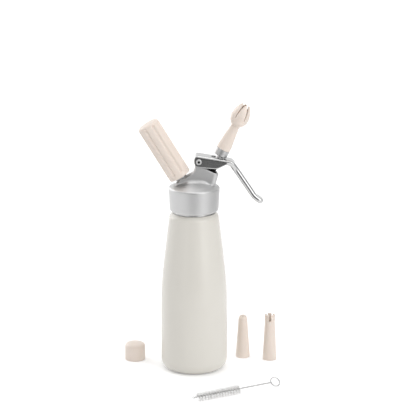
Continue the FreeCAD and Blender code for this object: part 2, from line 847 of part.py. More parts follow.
    def charger_holder(self):
        size = self.size
        body = new_body(self.doc, "charger_holder")
        bore = self.holder_bore
        charger_bore = size.charger_radius + size.running_clearance
        thread_end = size.holder_start + size.holder_thread_depth
        floor = size.charger_tip + size.charger_length + size.running_clearance
        edge = size.charger_thread_depth
        crown = edge
        revolve(body, "shell", [
            Corner(bore + edge * 0.5, size.holder_start),
            Corner(size.holder_radius, size.holder_start, rounding=edge * 0.8),
            Corner(size.holder_radius, size.holder_end - crown, rounding=size.holder_radius * 0.3),
            Corner(0, size.holder_end),
            Corner(0, floor),
            Corner(charger_bore, floor, rounding=size.charger_radius * 0.6),
            Corner(charger_bore, thread_end),
            Corner(bore, thread_end),
            Corner(bore, size.holder_start + edge * 0.5),
        ])
        pitch = size.charger_thread_pitch
        depth = size.charger_thread_depth
        self.groove(body, "holder_thread", bore, depth * 0.6, size.holder_start + pitch, pitch,
                    (size.holder_thread_depth - pitch * 2.5) / pitch)
        low = size.holder_start + size.flute_margin
        high = size.holder_end - size.flute_end_margin
        flute = revolve(body, "flute", [
            Corner(0, low, arc=size.flute_radius),
            Corner(size.flute_radius, low + size.flute_radius),
            Corner(size.flute_radius, high - size.flute_radius, arc=size.flute_radius),
            Corner(0, high),
        ], cut=True, shift=(size.holder_radius + size.flute_offset, 0))
        ring_pattern(body, flute, 8)
        self.on_neck_axis(body, spin=-20)
        return body

    def groove(self, body, name, bore, depth, start, pitch, turns):
        """An inside thread: a blunt groove cut out from the bore."""
        foot = pitch * 0.3
        crest = pitch * 0.1
        inside = bore - depth * 0.3
        return wind(body, name, [
            Corner(inside, start - foot),
            Corner(bore + depth, start - crest),
            Corner(bore + depth, start + crest),
            Corner(inside, start + foot),
        ], pitch, turns, cut=True)

    # Discharge valve.

    def gland_nut(self):
        size = self.size
        body = new_body(self.doc, "gland_nut")
        bore = size.stem_radius + size.fit_clearance
        revolve(body, "nut", [
            Corner(bore, -size.gland_depth),
            Corner(size.counterbore_radius - size.fit_clearance, -size.gland_depth),
            Corner(size.counterbore_radius - size.fit_clearance, 0),
            Corner(size.gland_flange_radius, 0),
            Corner(size.gland_flange_radius, size.gland_flange, rounding=size.gland_flange * 0.4),
            Corner(size.gland_neck_radius, size.gland_flange),
            Corner(size.gland_neck_radius, size.gland_neck_rise, rounding=size.gland_flange * 0.3),
            Corner(bore, size.gland_neck_rise),
        ])
        self.on_valve_axis(body)
        return body

    def valve_spring(self):
        size = self.size
        body = new_body(self.doc, "valve_spring")
        wire = size.spring_wire_radius
        sketch = new_sketch(body, "wire_outline", "XZ_Plane")
        low = -size.guide_depth + wire + size.fit_clearance
        high = self.flange_top() - size.stem_flange - wire - size.fit_clearance
        draw_circle(sketch, size.spring_radius, low, wire)
        wind_sketch(body, "coil", sketch, (high - low) / size.spring_coils, size.spring_coils,
                    False, 0.0)
        self.on_valve_axis(body)
        return body

    def flange_top(self):
        """The stem's flange stops just under the gland nut."""
        return -self.size.gland_depth - self.size.running_clearance

    def valve_stem(self):
        size = self.size
        body = new_body(self.doc, "valve_stem")
        top = self.flange_top()
        nut_end = size.seat_depth + size.seal_thickness + size.valve_nut_height
        ring_low = -size.o_ring_depth - size.o_ring_wire_radius
        ring_high = ring_low + size.o_ring_wire_radius * 2
        groove = size.stem_radius - size.o_ring_wire_radius * 2
        flow_hole = -size.seat_depth + size.flow_chamber * 0.5
        revolve(body, "spindle", [
            Corner(0, -nut_end),
            Corner(size.spindle_radius, -nut_end),
            Corner(size.spindle_radius, -size.seat_depth),
            Corner(size.stem_radius, -size.seat_depth),
            Corner(size.stem_radius, ring_low),
            Corner(groove, ring_low),
            Corner(groove, ring_high),
            Corner(size.stem_radius, ring_high),
            Corner(size.stem_radius, top - size.stem_flange),
            Corner(size.stem_flange_radius, top - size.stem_flange),
            Corner(size.stem_flange_radius, top),
            Corner(size.stem_radius, top),
            Corner(size.stem_radius, size.stem_rise, rounding=size.o_ring_wire_radius),
            Corner(size.stem_bore_radius, size.stem_rise),
            Corner(size.stem_bore_radius, flow_hole),
            Corner(0, flow_hole),
        ])
        sketch = new_sketch(body, "flow_outline", "XZ_Plane")
        draw_circle(sketch, 0, flow_hole, size.stem_bore_radius * 0.65)
        extrude(body, "flow_hole", sketch, size.stem_radius * 4, cut=True, symmetric=True)
        notch = size.stem_bore_radius * 0.35
        sketch = new_sketch(body, "notch_outline", "XZ_Plane")
        draw_outline(sketch, [
            Corner(-notch, size.stem_rise - size.stem_bore_radius),
            Corner(notch, size.stem_rise - size.stem_bore_radius),
            Corner(notch, size.stem_rise + size.stem_bore_radius),
            Corner(-notch, size.stem_rise + size.stem_bore_radius),
        ])
        extrude(body, "notch", sketch, size.stem_radius * 4, cut=True, symmetric=True)
        self.on_valve_axis(body)
        return body

    def ring(self, label, centre_radius, wire_radius, level):
        """A round rubber ring about the upright axis."""
        body = new_body(self.doc, label)
        sketch = new_sketch(body, "section", "XZ_Plane")
        draw_circle(sketch, centre_radius, level, wire_radius)
        feature = body.newObject("PartDesign::Revolution", "ring")
        feature.Profile = (sketch, [""])
        feature.ReferenceAxis = (sketch, ["V_Axis"])
        feature.Angle = FULL_TURN
        settle(body, feature, False, 0.0)
        return body

    def stem_o_ring(self):
        size = self.size
        body = self.ring("stem_o_ring", size.stem_radius - size.o_ring_wire_radius,
                         size.o_ring_wire_radius, -size.o_ring_depth)
        self.on_valve_axis(body)
        return body

    def thrust_collar(self):
        """The sleeve that the lever presses; its domed top meets the web beside the slot."""
        size = self.size
        body = new_body(self.doc, "thrust_collar")
        bore = size.stem_radius + size.fit_clearance
        telescope = size.gland_neck_radius + size.running_clearance
        reach = size.gland_neck_rise + size.valve_stroke + size.running_clearance * 2
        crown = root(size.collar_radius * size.collar_radius - bore * bore)
        revolve(body, "sleeve", [
            Corner(telescope, size.collar_rise),
            Corner(size.collar_radius, size.collar_rise, rounding=size.running_clearance),
            Corner(size.collar_radius, size.collar_centre, arc=size.collar_radius),
            Corner(bore, size.collar_centre + crown),
            Corner(bore, reach),
            Corner(telescope, reach),
        ])
        self.on_valve_axis(body)
        return body

    def valve_seal(self):
        size = self.size
        body = new_body(self.doc, "valve_seal")
        top = -size.seat_depth
        revolve(body, "seal", [
            Corner(size.spindle_radius + size.fit_clearance, top - size.seal_thickness),
            Corner(size.seal_radius, top - size.seal_thickness),
            Corner(size.seal_radius, top, rounding=size.o_ring_wire_radius),
            Corner(size.spindle_radius + size.fit_clearance, top),
        ])
        self.on_valve_axis(body)
        return body

    def valve_nut(self):
        size = self.size
        body = new_body(self.doc, "valve_nut")
        top = -size.seat_depth - size.seal_thickness
        bottom = top - size.valve_nut_height
        edge = size.o_ring_wire_radius
        revolve(body, "nut", [
            Corner(size.spindle_radius + size.fit_clearance, bottom),
            Corner(size.seal_radius - edge, bottom),
            Corner(size.seal_radius, bottom + edge),
            Corner(size.seal_radius, top),
            Corner(size.spindle_radius + size.fit_clearance, top),
        ])
        self.on_valve_axis(body)
        return body

    # Nozzle adapter and nozzles.

    def nozzle_adapter(self):
        size = self.size
        body = new_body(self.doc, "nozzle_adapter")
        socket = size.stem_radius + size.fit_clearance
        groove = size.adapter_ring_radius - size.adapter_ring_wire - size.fit_clearance
        groove_top = size.adapter_height + size.adapter_ring_groove
        tip_top = groove_top + size.adapter_tip_length
        thread_depth = size.fit_clearance * 10
        tip_root = size.adapter_tip_radius - thread_depth
        edge = size.adapter_chamfer * 0.4
        revolve(body, "barrel", [
            Corner(socket, 0),
            Corner(size.adapter_radius - size.adapter_chamfer, 0),
            Corner(size.adapter_radius, size.adapter_chamfer),
            Corner(size.adapter_radius, size.adapter_height - edge),
            Corner(size.adapter_radius - edge, size.adapter_height),
            Corner(groove, size.adapter_height),
            Corner(groove, groove_top),
            Corner(tip_root, groove_top),
            Corner(tip_root, tip_top - edge),
            Corner(tip_root - edge, tip_top),
            Corner(size.adapter_bore_radius, tip_top),
            Corner(size.adapter_bore_radius, size.adapter_socket_depth),
            Corner(socket, size.adapter_socket_depth),
        ])
        pitch = size.adapter_tip_length * 0.2
        turns = size.adapter_tip_length / pitch - 1.6
        self.ridge(body, "tip_thread", tip_root, thread_depth, groove_top + pitch * 0.6, pitch, turns)
        half = size.adapter_bore_radius * 0.5
        sketch = new_sketch(body, "slot_outline", "XZ_Plane")
        draw_outline(sketch, [
            Corner(-half, tip_top - size.adapter_tip_length * 0.45),
            Corner(half, tip_top - size.adapter_tip_length * 0.45),
            Corner(half, tip_top + half),
            Corner(-half, tip_top + half),
        ])
        extrude(body, "slot", sketch, size.adapter_radius * 2, cut=True, symmetric=True)
        self.on_valve_axis(body, size.adapter_rise)
        return body

    def adapter_o_ring(self):
        size = self.size
        body = self.ring("adapter_o_ring", size.adapter_ring_radius, size.adapter_ring_wire,
                         size.adapter_height + size.adapter_ring_groove * 0.5)
        self.on_valve_axis(body, size.adapter_rise)
        return body

    def socket_corners(self, base_radius, bore_radius):
        """The inside of a nozzle's wide end: the ring's seat, the thread's bore and the way up."""
        size = self.size
        thread_bore = size.adapter_tip_radius + size.fit_clearance * 2
        ring_depth = size.adapter_ring_groove + size.running_clearance
        return [
            Corner(bore_radius, size.nozzle_socket_depth + (thread_bore - bore_radius)),
            Corner(thread_bore, size.nozzle_socket_depth),
            Corner(thread_bore, ring_depth + (size.nozzle_seal_radius - thread_bore)),
            Corner(size.nozzle_seal_radius, ring_depth),
            Corner(size.nozzle_seal_radius, 0),
            Corner(base_radius, 0, rounding=size.nozzle_wall * 0.4),
        ]

    def tulip_nozzle(self):
        """A nozzle whose bulb is cut into six pointed petals."""
        size = self.size
        body = new_body(self.doc, "tulip_nozzle")
        wall = size.nozzle_wall
        bulb_rise = size.tulip_bulb_height - size.tulip_neck_height
        bulb_arc = size.tulip_bulb_radius * 1.25
        petal_arc = (size.tulip_length - size.tulip_bulb_height) * 1.8
        bore = size.tulip_neck_radius - wall
        shell = self.socket_corners(size.tulip_base_radius, bore) + [
            Corner(size.tulip_base_radius, wall * 4, rounding=wall * 4),
            Corner(size.tulip_neck_radius, size.tulip_neck_height, arc=bulb_arc),
            Corner(size.tulip_bulb_radius, size.tulip_bulb_height, arc=petal_arc),
            Corner(size.tulip_tip_radius, size.tulip_length),
            Corner(size.tulip_tip_radius - wall, size.tulip_length - wall * 0.3,
                   arc=-(petal_arc - wall)),
            Corner(size.tulip_bulb_radius - wall, size.tulip_bulb_height, arc=-(bulb_arc - wall)),
            Corner(bore, size.tulip_neck_height + bulb_rise * 0.1),
        ]
        revolve(body, "shell", shell)
        slit = wall * 0.25
        gap = size.tulip_tip_radius * 0.36
        petal_height = size.tulip_length - size.tulip_bulb_height
        sketch = new_sketch(body, "petal_gap_outline", "YZ_Plane")
        draw_outline(sketch, [
            Corner(-slit, size.tulip_bulb_height - wall),
            Corner(slit, size.tulip_bulb_height - wall),
            Corner(gap * 0.45, size.tulip_bulb_height + petal_height * 0.7),
            Corner(gap, size.tulip_length + wall),
            Corner(-gap, size.tulip_length + wall),
            Corner(-gap * 0.45, size.tulip_bulb_height + petal_height * 0.7),
        ])
        gap_cut = extrude(body, "petal_gap", sketch, size.tulip_bulb_radius * 3, cut=True,
                          symmetric=True)
        ring_pattern(body, gap_cut, 6)
        self.on_valve_axis(body, size.adapter_rise + size.adapter_height)
        return body

    def star_nozzle(self):
        """A nozzle with a closed round tip that six slits open in a star."""
        size = self.size
        body = new_body(self.doc, "star_nozzle")
        wall = size.nozzle_wall
        bore = size.star_tip_radius - wall
        dome_start = size.star_length - size.star_tip_radius
        revolve(body, "shell", self.socket_corners(size.star_base_radius, bore * 1.1) + [
            Corner(size.star_base_radius, wall * 3, rounding=wall * 8),
            Corner(size.star_tip_radius, dome_start, arc=size.star_tip_radius),
            Corner(0, size.star_length),
            Corner(0, size.star_length - wall, arc=-bore),
            Corner(bore, dome_start),
        ])
        slit = size.star_slit * 0.5
        reach = size.star_tip_radius * 0.75
        sketch = new_sketch(body, "slit_outline", "XY_Plane", level=size.star_length)
        draw_outline(sketch, [
            Corner(-slit * 0.5, 0),
            Corner(slit * 0.5, 0),
            Corner(slit, reach),
            Corner(-slit, reach),
        ])
        cut = extrude(body, "slit", sketch, size.star_tip_radius * 1.2, cut=True)
        ring_pattern(body, cut, 6)
        place(body, size.star_x, size.star_y, 0)
        return body

    def crown_nozzle(self):
        """A nozzle whose straight tip is slotted into a crown of five teeth."""
        size = self.size
        body = new_body(self.doc, "crown_nozzle")
        wall = size.nozzle_wall
        bore = size.crown_tip_radius - wall
        edge = wall * 0.3
        revolve(body, "shell", self.socket_corners(size.crown_base_radius, bore) + [
            Corner(size.crown_base_radius, wall * 3, rounding=wall * 8),
            Corner(size.crown_tip_radius, size.crown_length - size.crown_slot_length, rounding=wall * 8),
            Corner(size.crown_tip_radius, size.crown_length, rounding=edge),
            Corner(bore, size.crown_length, rounding=edge),
        ])
        half = size.crown_slot_width * 0.5
        foot = size.crown_length - size.crown_slot_length
        sketch = new_sketch(body, "slot_outline", "XZ_Plane")
        draw_outline(sketch, [
            Corner(-half, foot, rounding=half * 0.9),
            Corner(half, foot, rounding=half * 0.9),
            Corner(half, size.crown_length + wall),
            Corner(-half, size.crown_length + wall),
        ])
        cut = extrude(body, "slot", sketch, size.crown_tip_radius * 2, cut=True, backwards=True)
        ring_pattern(body, cut, 5)
        place(body, size.crown_x, size.crown_y, 0)
        return body

    def neck_cap(self):
        size = self.size
        body = new_body(self.doc, "neck_cap")
        bore = self.holder_bore
        edge = size.charger_thread_depth
        revolve(body, "shell", [
            Corner(bore + edge * 0.5, 0),
            Corner(size.cap_radius, 0, rounding=edge * 0.7),
            Corner(size.cap_radius, size.cap_height - edge * 1.4, rounding=size.cap_radius * 0.35),
            Corner(0, size.cap_height),
            Corner(0, size.cap_depth),
            Corner(bore, size.cap_depth),
            Corner(bore, edge * 0.5),
        ])
        pitch = size.charger_thread_pitch
        self.groove(body, "cap_thread", bore, edge * 0.6, pitch * 1.2, pitch,
                    (size.cap_depth - pitch * 2.6) / pitch)
        place(body, size.cap_x, size.cap_y, 0)
        return body

    # Lever and its pivot.

    def web_line(self, distance, x):
        """Height, above the pivot, of a line that runs with the lever's web."""
        size = self.size
        return (distance - x * sine(size.web_slope)) / cosine(size.web_slope)

    def lever(self):
        size = self.size
        body = new_body(self.doc, "lever")
        bar_x, bar_z = sine(size.bar_angle), -cosine(size.bar_angle)
        paddle_x, paddle_z = sine(size.paddle_angle), -cosine(size.paddle_angle)
        bend = (size.bend_reach, self.web_line(self.web_top, size.bend_reach))
        kick = (bend[0] + bar_x * size.bar_length, bend[1] + bar_z * size.bar_length)
        tip = (kick[0] + paddle_x * size.paddle_length, kick[1] + paddle_z * size.paddle_length)
        web_normal = (-sine(size.web_slope), -cosine(size.web_slope))
        bar_normal = (bar_z, -bar_x)
        paddle_normal = (paddle_z, -paddle_x)
        inner_bend = self.inner_corner(bend, web_normal, bar_normal)
        inner_kick = self.inner_corner(kick, bar_normal, paddle_normal)
        inner_tip = (tip[0] + paddle_normal[0] * size.bar_thickness,
                     tip[1] + paddle_normal[1] * size.bar_thickness)
        end_round = size.lever_end_reach * 0.78
        bend_round = size.bar_thickness * 1.5
        tip_round = size.bar_thickness * 0.36
        kick_round = size.bar_thickness * 2.4
        sketch = new_sketch(body, "side_outline", "XZ_Plane")
        draw_outline(sketch, [
            Corner(-size.lever_end_reach, self.web_line(self.web_top, -size.lever_end_reach),
                   rounding=end_round),
            Corner(-size.lever_end_reach, -size.plate_drop, rounding=end_round),
            Corner(size.plate_belly_reach, -size.plate_belly_drop, rounding=bend_round),
            Corner(size.plate_end_reach,
                   self.web_line(self.web_under, size.plate_end_reach) - size.web_thickness * 1.4,
                   rounding=size.web_thickness),
            Corner(inner_bend[0], inner_bend[1], rounding=size.bar_thickness * 0.7),
            Corner(inner_kick[0], inner_kick[1], rounding=kick_round),
            Corner(inner_tip[0], inner_tip[1], rounding=tip_round),
            Corner(tip[0], tip[1], rounding=tip_round),
            Corner(kick[0], kick[1], rounding=kick_round),
            Corner(bend[0], bend[1], rounding=bend_round),
        ])
        extrude(body, "blank", sketch, size.lever_half_width * 2, symmetric=True)
        side = size.lever_half_width.value
        round_edges(body, "side_edges", size.plate_thickness * 0.45, lambda edge: (
            abs(abs(edge.CenterOfMass.y) - side) < 0.01))
        self.lever_channel(body)
        self.lever_waist(body)
        self.at_pivot(body)
        return body

    def inner_corner(self, outer, first_normal, second_normal):
        """The corner that lies one bar thickness inside two faces that meet."""
        depth = self.size.bar_thickness
        share = 1 + (first_normal[0] * second_normal[0] + first_normal[1] * second_normal[1])
        return (outer[0] + depth * (first_normal[0] + second_normal[0]) / share,
                outer[1] + depth * (first_normal[1] + second_normal[1]) / share)

    def lever_channel(self, body):
        """Hollow the lever between its side plates, slot its web and bore its pivot."""
        size = self.size
        inner_half = size.lever_half_width - size.plate_thickness
        below = -size.plate_belly_drop * 3
        channel_end = size.plate_end_reach - size.web_thickness
        wrap = self.web_under
        sketch = new_sketch(body, "channel_outline", "XZ_Plane")
        draw_outline(sketch, [
            Corner(-size.lever_end_reach * 1.5, below),
            Corner(channel_end, below),
            Corner(channel_end, self.web_line(self.web_under, channel_end)),
            Corner(-wrap, self.web_line(self.web_under, -wrap), rounding=size.pivot_boss_radius),
            Corner(-wrap, 0),
            Corner(-size.lever_end_reach * 1.5, 0),
        ])
        extrude(body, "channel", sketch, inner_half * 2, cut=True, symmetric=True)
        half = size.slot_half_width
        top = self.web_top * 1.5
        sketch = new_sketch(body, "stem_slot_outline", "XY_Plane", level=top)
        draw_outline(sketch, [
            Corner(size.slot_start, -half, rounding=half * 0.9),
            Corner(size.slot_start + size.slot_length, -half, rounding=half * 0.9),
            Corner(size.slot_start + size.slot_length, half, rounding=half * 0.9),
            Corner(size.slot_start, half, rounding=half * 0.9),
        ])
        extrude(body, "stem_slot", sketch, top * 1.2, cut=True)
        sketch = new_sketch(body, "pivot_hole_outline", "XZ_Plane")
        draw_circle(sketch, 0, 0, size.pivot_pin_radius + size.fit_clearance)
        extrude(body, "pivot_hole", sketch, size.lever_half_width * 4, cut=True, symmetric=True)

    def lever_waist(self, body):
        """Narrow the bar below its bend and flare it again into the paddle."""
        size = self.size
        wide = size.lever_half_width * 1.3
        bottom = -size.bar_length * 1.2
        flare = -size.bar_length * 0.75
        soft = size.bar_length * 0.25
        for side, name in ((1, "right_waist"), (-1, "left_waist")):
            corners = [
                Corner(wide * side, 0),
                Corner(size.lever_half_width * side, 0),
                Corner(size.bar_half_width * side, -size.bar_length * 0.2, rounding=soft),
                Corner(size.bar_half_width * side, flare, rounding=soft),
                Corner(size.paddle_half_width * side, bottom),
                Corner(wide * side, bottom),
            ]
            sketch = new_sketch(body, name + "_outline", "YZ_Plane", level=size.plate_end_reach)
            draw_outline(sketch, corners if side > 0 else corners[::-1])
            extrude(body, name, sketch, size.bar_length * 1.2, cut=True, backwards=True)

    def pivot_screw(self):
        """A hexagon socket screw, from the front, that turns into the sleeve behind it."""
        size = self.size
        body = new_body(self.doc, "pivot_screw")
        face = size.lever_half_width + size.fit_clearance
        head = face + size.screw_head_height
        length = size.lever_half_width * 1.6
        edge = size.screw_head_height * 0.5
        revolve(body, "screw", [
            Corner(0, face - length),
            Corner(size.screw_radius, face - length),
            Corner(size.screw_radius, face),
            Corner(size.screw_head_radius, face),
            Corner(size.screw_head_radius, head, rounding=edge),
            Corner(0, head),
        ])
        apothem = size.hex_key_size * 0.5
        corner_reach = apothem / cosine(as_size(30))
        sketch = new_sketch(body, "hexagon_outline", "XY_Plane", level=head)
        draw_outline(sketch, [
            Corner(corner_reach * math.cos(math.radians(60 * i)),
                   corner_reach * math.sin(math.radians(60 * i))) for i in range(6)])
        extrude(body, "hexagon", sketch, size.screw_head_height * 0.8, cut=True)
        self.lay_on_pivot(body, 90)
        return body

    def pivot_sleeve(self):
        """The smooth pin that the lever turns on, with its head behind the lever."""
        size = self.size
        body = new_body(self.doc, "pivot_sleeve")
        face = size.lever_half_width + size.fit_clearance
        bore = size.screw_radius + size.fit_clearance
        head = face + size.screw_head_height
        revolve(body, "sleeve", [
            Corner(bore, -size.lever_half_width),
            Corner(size.pivot_pin_radius, -size.lever_half_width),
            Corner(size.pivot_pin_radius, face),
            Corner(size.screw_head_radius, face),
            Corner(size.screw_head_radius, head, rounding=size.screw_head_height * 0.3),
            Corner(bore, head),
        ])
        self.lay_on_pivot(body, -90)
        return body

    def lay_on_pivot(self, body, degrees):
        """Lay an upright piece along Y at the pivot; +90 points its top to the front, -Y."""
        size = self.size
        place(body, size.pivot_x, 0, self.head_bottom + size.pivot_height,
              FreeCAD.Rotation(Vector(1, 0, 0), degrees))

    # Cleaning brush.

    def lay_brush(self, item):
        """Lay a piece that was drawn upright down along the brush's heading."""
        size = self.size
        lay = FreeCAD.Rotation(Vector(0, 0, 1), size.brush_heading.value)
        lay = lay.multiply(FreeCAD.Rotation(Vector(0, 1, 0), 90))
        lay = lay.multiply(FreeCAD.Rotation(Vector(0, 0, 1), size.brush_loop_turn.value))
        place(item, size.brush_x, size.brush_y, size.bristle_radius, lay)

    def brush_wire(self):
        size = self.size
        doc = self.doc
        tip_ring = size.brush_wire_radius * 1.3
        loop_centre = size.brush_length - size.brush_loop_radius - size.brush_loop_wire
        loop_low = loop_centre - size.brush_loop_radius
        rod = doc.addObject("Part::Cylinder", "brush_rod")
        bind(rod, "Radius", size.brush_wire_radius)
        bind(rod, "Height", loop_low - tip_ring)
        place(rod, 0, 0, tip_ring)
        standing = FreeCAD.Rotation(Vector(1, 0, 0), 90)
        loop = doc.addObject("Part::Torus", "brush_loop")
        bind(loop, "Radius1", size.brush_loop_radius)
        bind(loop, "Radius2", size.brush_loop_wire)
        place(loop, 0, 0, loop_centre, standing)
        tip = doc.addObject("Part::Torus", "brush_tip")
        bind(tip, "Radius1", tip_ring)
        bind(tip, "Radius2", size.brush_loop_wire * 0.8)
        place(tip, 0, 0, tip_ring, standing)
        wire = doc.addObject("Part::MultiFuse", "brush_wire")
        wire.Shapes = [rod, loop, tip]
        wire.Label = "brush_wire"
        self.lay_brush(wire)
        return wire

    def brush_bristles(self):
        """The bristles' spiral: a thin blade wound round a sleeve that grips the wire."""
        size = self.size
        body = new_body(self.doc, "brush_bristles")
        bore = size.brush_wire_radius + size.fit_clearance
        grip = bore + size.brush_wire_radius * 0.5
        end = size.bristle_start + size.bristle_pitch * size.bristle_turns
        revolve(body, "grip", [
            Corner(bore, size.bristle_start),
            Corner(grip, size.bristle_start),
            Corner(grip, end),
            Corner(bore, end),
        ])
        blade = size.bristle_pitch * 0.17
        start = size.bristle_start + blade
        wind(body, "spiral", [
            Corner(grip - size.fit_clearance * 4, start - blade),
            Corner(size.bristle_radius, start - blade),
            Corner(size.bristle_radius, start + blade),
            Corner(grip - size.fit_clearance * 4, start + blade),
        ], size.bristle_pitch, size.bristle_turns - 0.4)
        self.lay_brush(body)
        return body

    def build(self):
        """Make every piece, in the order in which they would be laid out on a bench."""
        return [
            self.bottle(), self.head_gasket(), self.head_body(), self.charger_neck(),
            self.neck_washer(), self.piercing_pin(), self.pin_seal(), self.inlet_valve(),
            self.gas_charger(), self.charger_holder(), self.gland_nut(), self.valve_spring(),
            self.valve_stem(), self.stem_o_ring(), self.thrust_collar(), self.valve_seal(),
            self.valve_nut(), self.nozzle_adapter(), self.adapter_o_ring(), self.tulip_nozzle(),
            self.star_nozzle(), self.crown_nozzle(), self.neck_cap(), self.lever(),
            self.pivot_screw(), self.pivot_sleeve(), self.brush_wire(), self.brush_bristles(),
        ]


def check(doc, pieces):
    """Stop at any object that failed and at any piece without one valid solid."""
    for item in doc.Objects:
        if "Invalid" in item.State or "Error" in item.State:
            raise RuntimeError(f"{item.Label} failed: {item.State}")
    for piece in pieces:
        shape = piece.Shape
        if shape.isNull() or not shape.isValid() or len(shape.Solids) != 1:
            raise RuntimeError(f"{piece.Label} is not one valid solid")


def main():
    dispenser = Dispenser()
    pieces = dispenser.build()
    dispenser.doc.recompute()
    check(dispenser.doc, pieces)
    os.makedirs("parts", exist_ok=True)
    for piece in pieces:
        piece.Shape.exportStep(os.path.join("parts", piece.Label + ".step"))
        print(f"{piece.Label}: {piece.Shape.Volume / 1000:.2f} cm3")


main()
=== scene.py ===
"""Whipped cream dispenser: finishes, fine pieces, floor, lamps and camera."""
import json
import math
import random

import bmesh
import bpy
import numpy
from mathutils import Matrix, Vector


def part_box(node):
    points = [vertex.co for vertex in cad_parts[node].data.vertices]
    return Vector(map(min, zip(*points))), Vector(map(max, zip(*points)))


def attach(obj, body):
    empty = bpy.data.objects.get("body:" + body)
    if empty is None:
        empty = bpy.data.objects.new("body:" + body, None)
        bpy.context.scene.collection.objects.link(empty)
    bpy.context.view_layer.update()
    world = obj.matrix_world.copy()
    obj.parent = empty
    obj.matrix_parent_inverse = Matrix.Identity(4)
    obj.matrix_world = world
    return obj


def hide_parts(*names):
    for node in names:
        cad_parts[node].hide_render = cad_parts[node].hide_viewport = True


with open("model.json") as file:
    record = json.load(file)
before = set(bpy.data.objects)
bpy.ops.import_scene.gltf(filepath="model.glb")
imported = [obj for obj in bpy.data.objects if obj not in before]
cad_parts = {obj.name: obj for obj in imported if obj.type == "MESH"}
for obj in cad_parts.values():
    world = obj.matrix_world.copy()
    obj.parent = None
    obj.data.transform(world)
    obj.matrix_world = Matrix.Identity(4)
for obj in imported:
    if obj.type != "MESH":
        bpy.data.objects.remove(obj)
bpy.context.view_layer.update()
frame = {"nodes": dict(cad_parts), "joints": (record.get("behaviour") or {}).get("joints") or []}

MM = 0.001
nodes = frame["nodes"]
joints = {joint["name"]: joint for joint in frame["joints"]}


def middle(node):
    low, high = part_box(node)
    return (low + high) / 2


# Axes of the leaning pieces, as the joints and the rings on them give them.
VALVE_AXIS = Vector(joints["adapter_slide"]["axis"]).normalized()
NECK_AXIS = Vector(joints["holder_slide"]["axis"]).normalized()
WASHER_RISE = 1.9 * MM       # from the neck's foot to the middle of its washer
NECK_FOOT = middle("neck_washer") - NECK_AXIS * WASHER_RISE
VALVE_LEAN = math.atan2(VALVE_AXIS.x, VALVE_AXIS.z)
NECK_LEAN = math.atan2(NECK_AXIS.x, NECK_AXIS.z)
BRUSH_HEADING = math.radians(30.8)


# Nodes and node groups.

def linear(hex_colour):
    """A colour as it is seen, such as "E9DDD3", in the linear values that shaders take."""
    channels = [int(hex_colour[i:i + 2], 16) / 255 for i in (0, 2, 4)]
    return [c / 12.92 if c <= 0.04045 else ((c + 0.055) / 1.055) ** 2.4 for c in channels] + [1.0]


def feed(tree, socket, source):
    if isinstance(source, bpy.types.NodeSocket):
        tree.links.new(source, socket)
    else:
        socket.default_value = source


def node(tree, kind, settings=None, slots=(), **inputs):
    """Add a node; slots feed its inputs in order, and the named ones take _ for a space."""
    made = tree.nodes.new(kind)
    for name, value in (settings or {}).items():
        setattr(made, name, value)
    for index, source in enumerate(slots):
        feed(tree, made.inputs[index], source)
    for name, source in inputs.items():
        feed(tree, made.inputs[name.replace("_", " ")], source)
    return made


def maths(tree, operation, *slots):
    return node(tree, "ShaderNodeMath", {"operation": operation}, slots).outputs[0]


def spread(tree, value, low, high, to_low=0.0, to_high=1.0):
    """Map a value's range to another, and hold it there."""
    made = node(tree, "ShaderNodeMapRange", {"interpolation_type": "SMOOTHSTEP"},
                Value=value, From_Min=low, From_Max=high, To_Min=to_low, To_Max=to_high)
    return made.outputs[0]


def blend_colours(tree, mask, first, second):
    made = tree.nodes.new("ShaderNodeMix")
    made.data_type = "RGBA"
    feed(tree, made.inputs["Factor"], mask)
    feed(tree, made.inputs[6], first)
    feed(tree, made.inputs[7], second)
    return made.outputs[2]


def new_group(name, inputs, outputs):
    """A shader node group; inputs give each name its default, and outputs are names alone."""
    tree = bpy.data.node_groups.new(name, "ShaderNodeTree")
    for label, default in inputs.items():
        socket = tree.interface.new_socket(label, in_out="INPUT", socket_type="NodeSocketFloat")
        socket.default_value = default
    for label in outputs:
        tree.interface.new_socket(label, in_out="OUTPUT", socket_type="NodeSocketFloat")
    entry = tree.nodes.new("NodeGroupInput")
    exit_node = tree.nodes.new("NodeGroupOutput")
    return tree, entry, exit_node


def surface_point(tree):
    return node(tree, "ShaderNodeTexCoord").outputs["Object"]


def make_fine_grain():
    """Small even pits, with a slow drift over them: paint, castings and moulded plastic."""
    tree, entry, leave = new_group("fine grain", {"Grain Size": 0.4, "Drift Size": 20.0},
                                   ("Height", "Drift"))
    point = surface_point(tree)
    grain_scale = maths(tree, "DIVIDE", 1 / MM, entry.outputs["Grain Size"])
    drift_scale = maths(tree, "DIVIDE", 1 / MM, entry.outputs["Drift Size"])
    grain = node(tree, "ShaderNodeTexNoise", Vector=point, Scale=grain_scale, Detail=3.0,
                 Roughness=0.6)
    drift = node(tree, "ShaderNodeTexNoise", Vector=point, Scale=drift_scale, Detail=2.0)
    feed(tree, leave.inputs["Height"], grain.outputs[0])
    feed(tree, leave.inputs["Drift"], drift.outputs[0])
    return tree


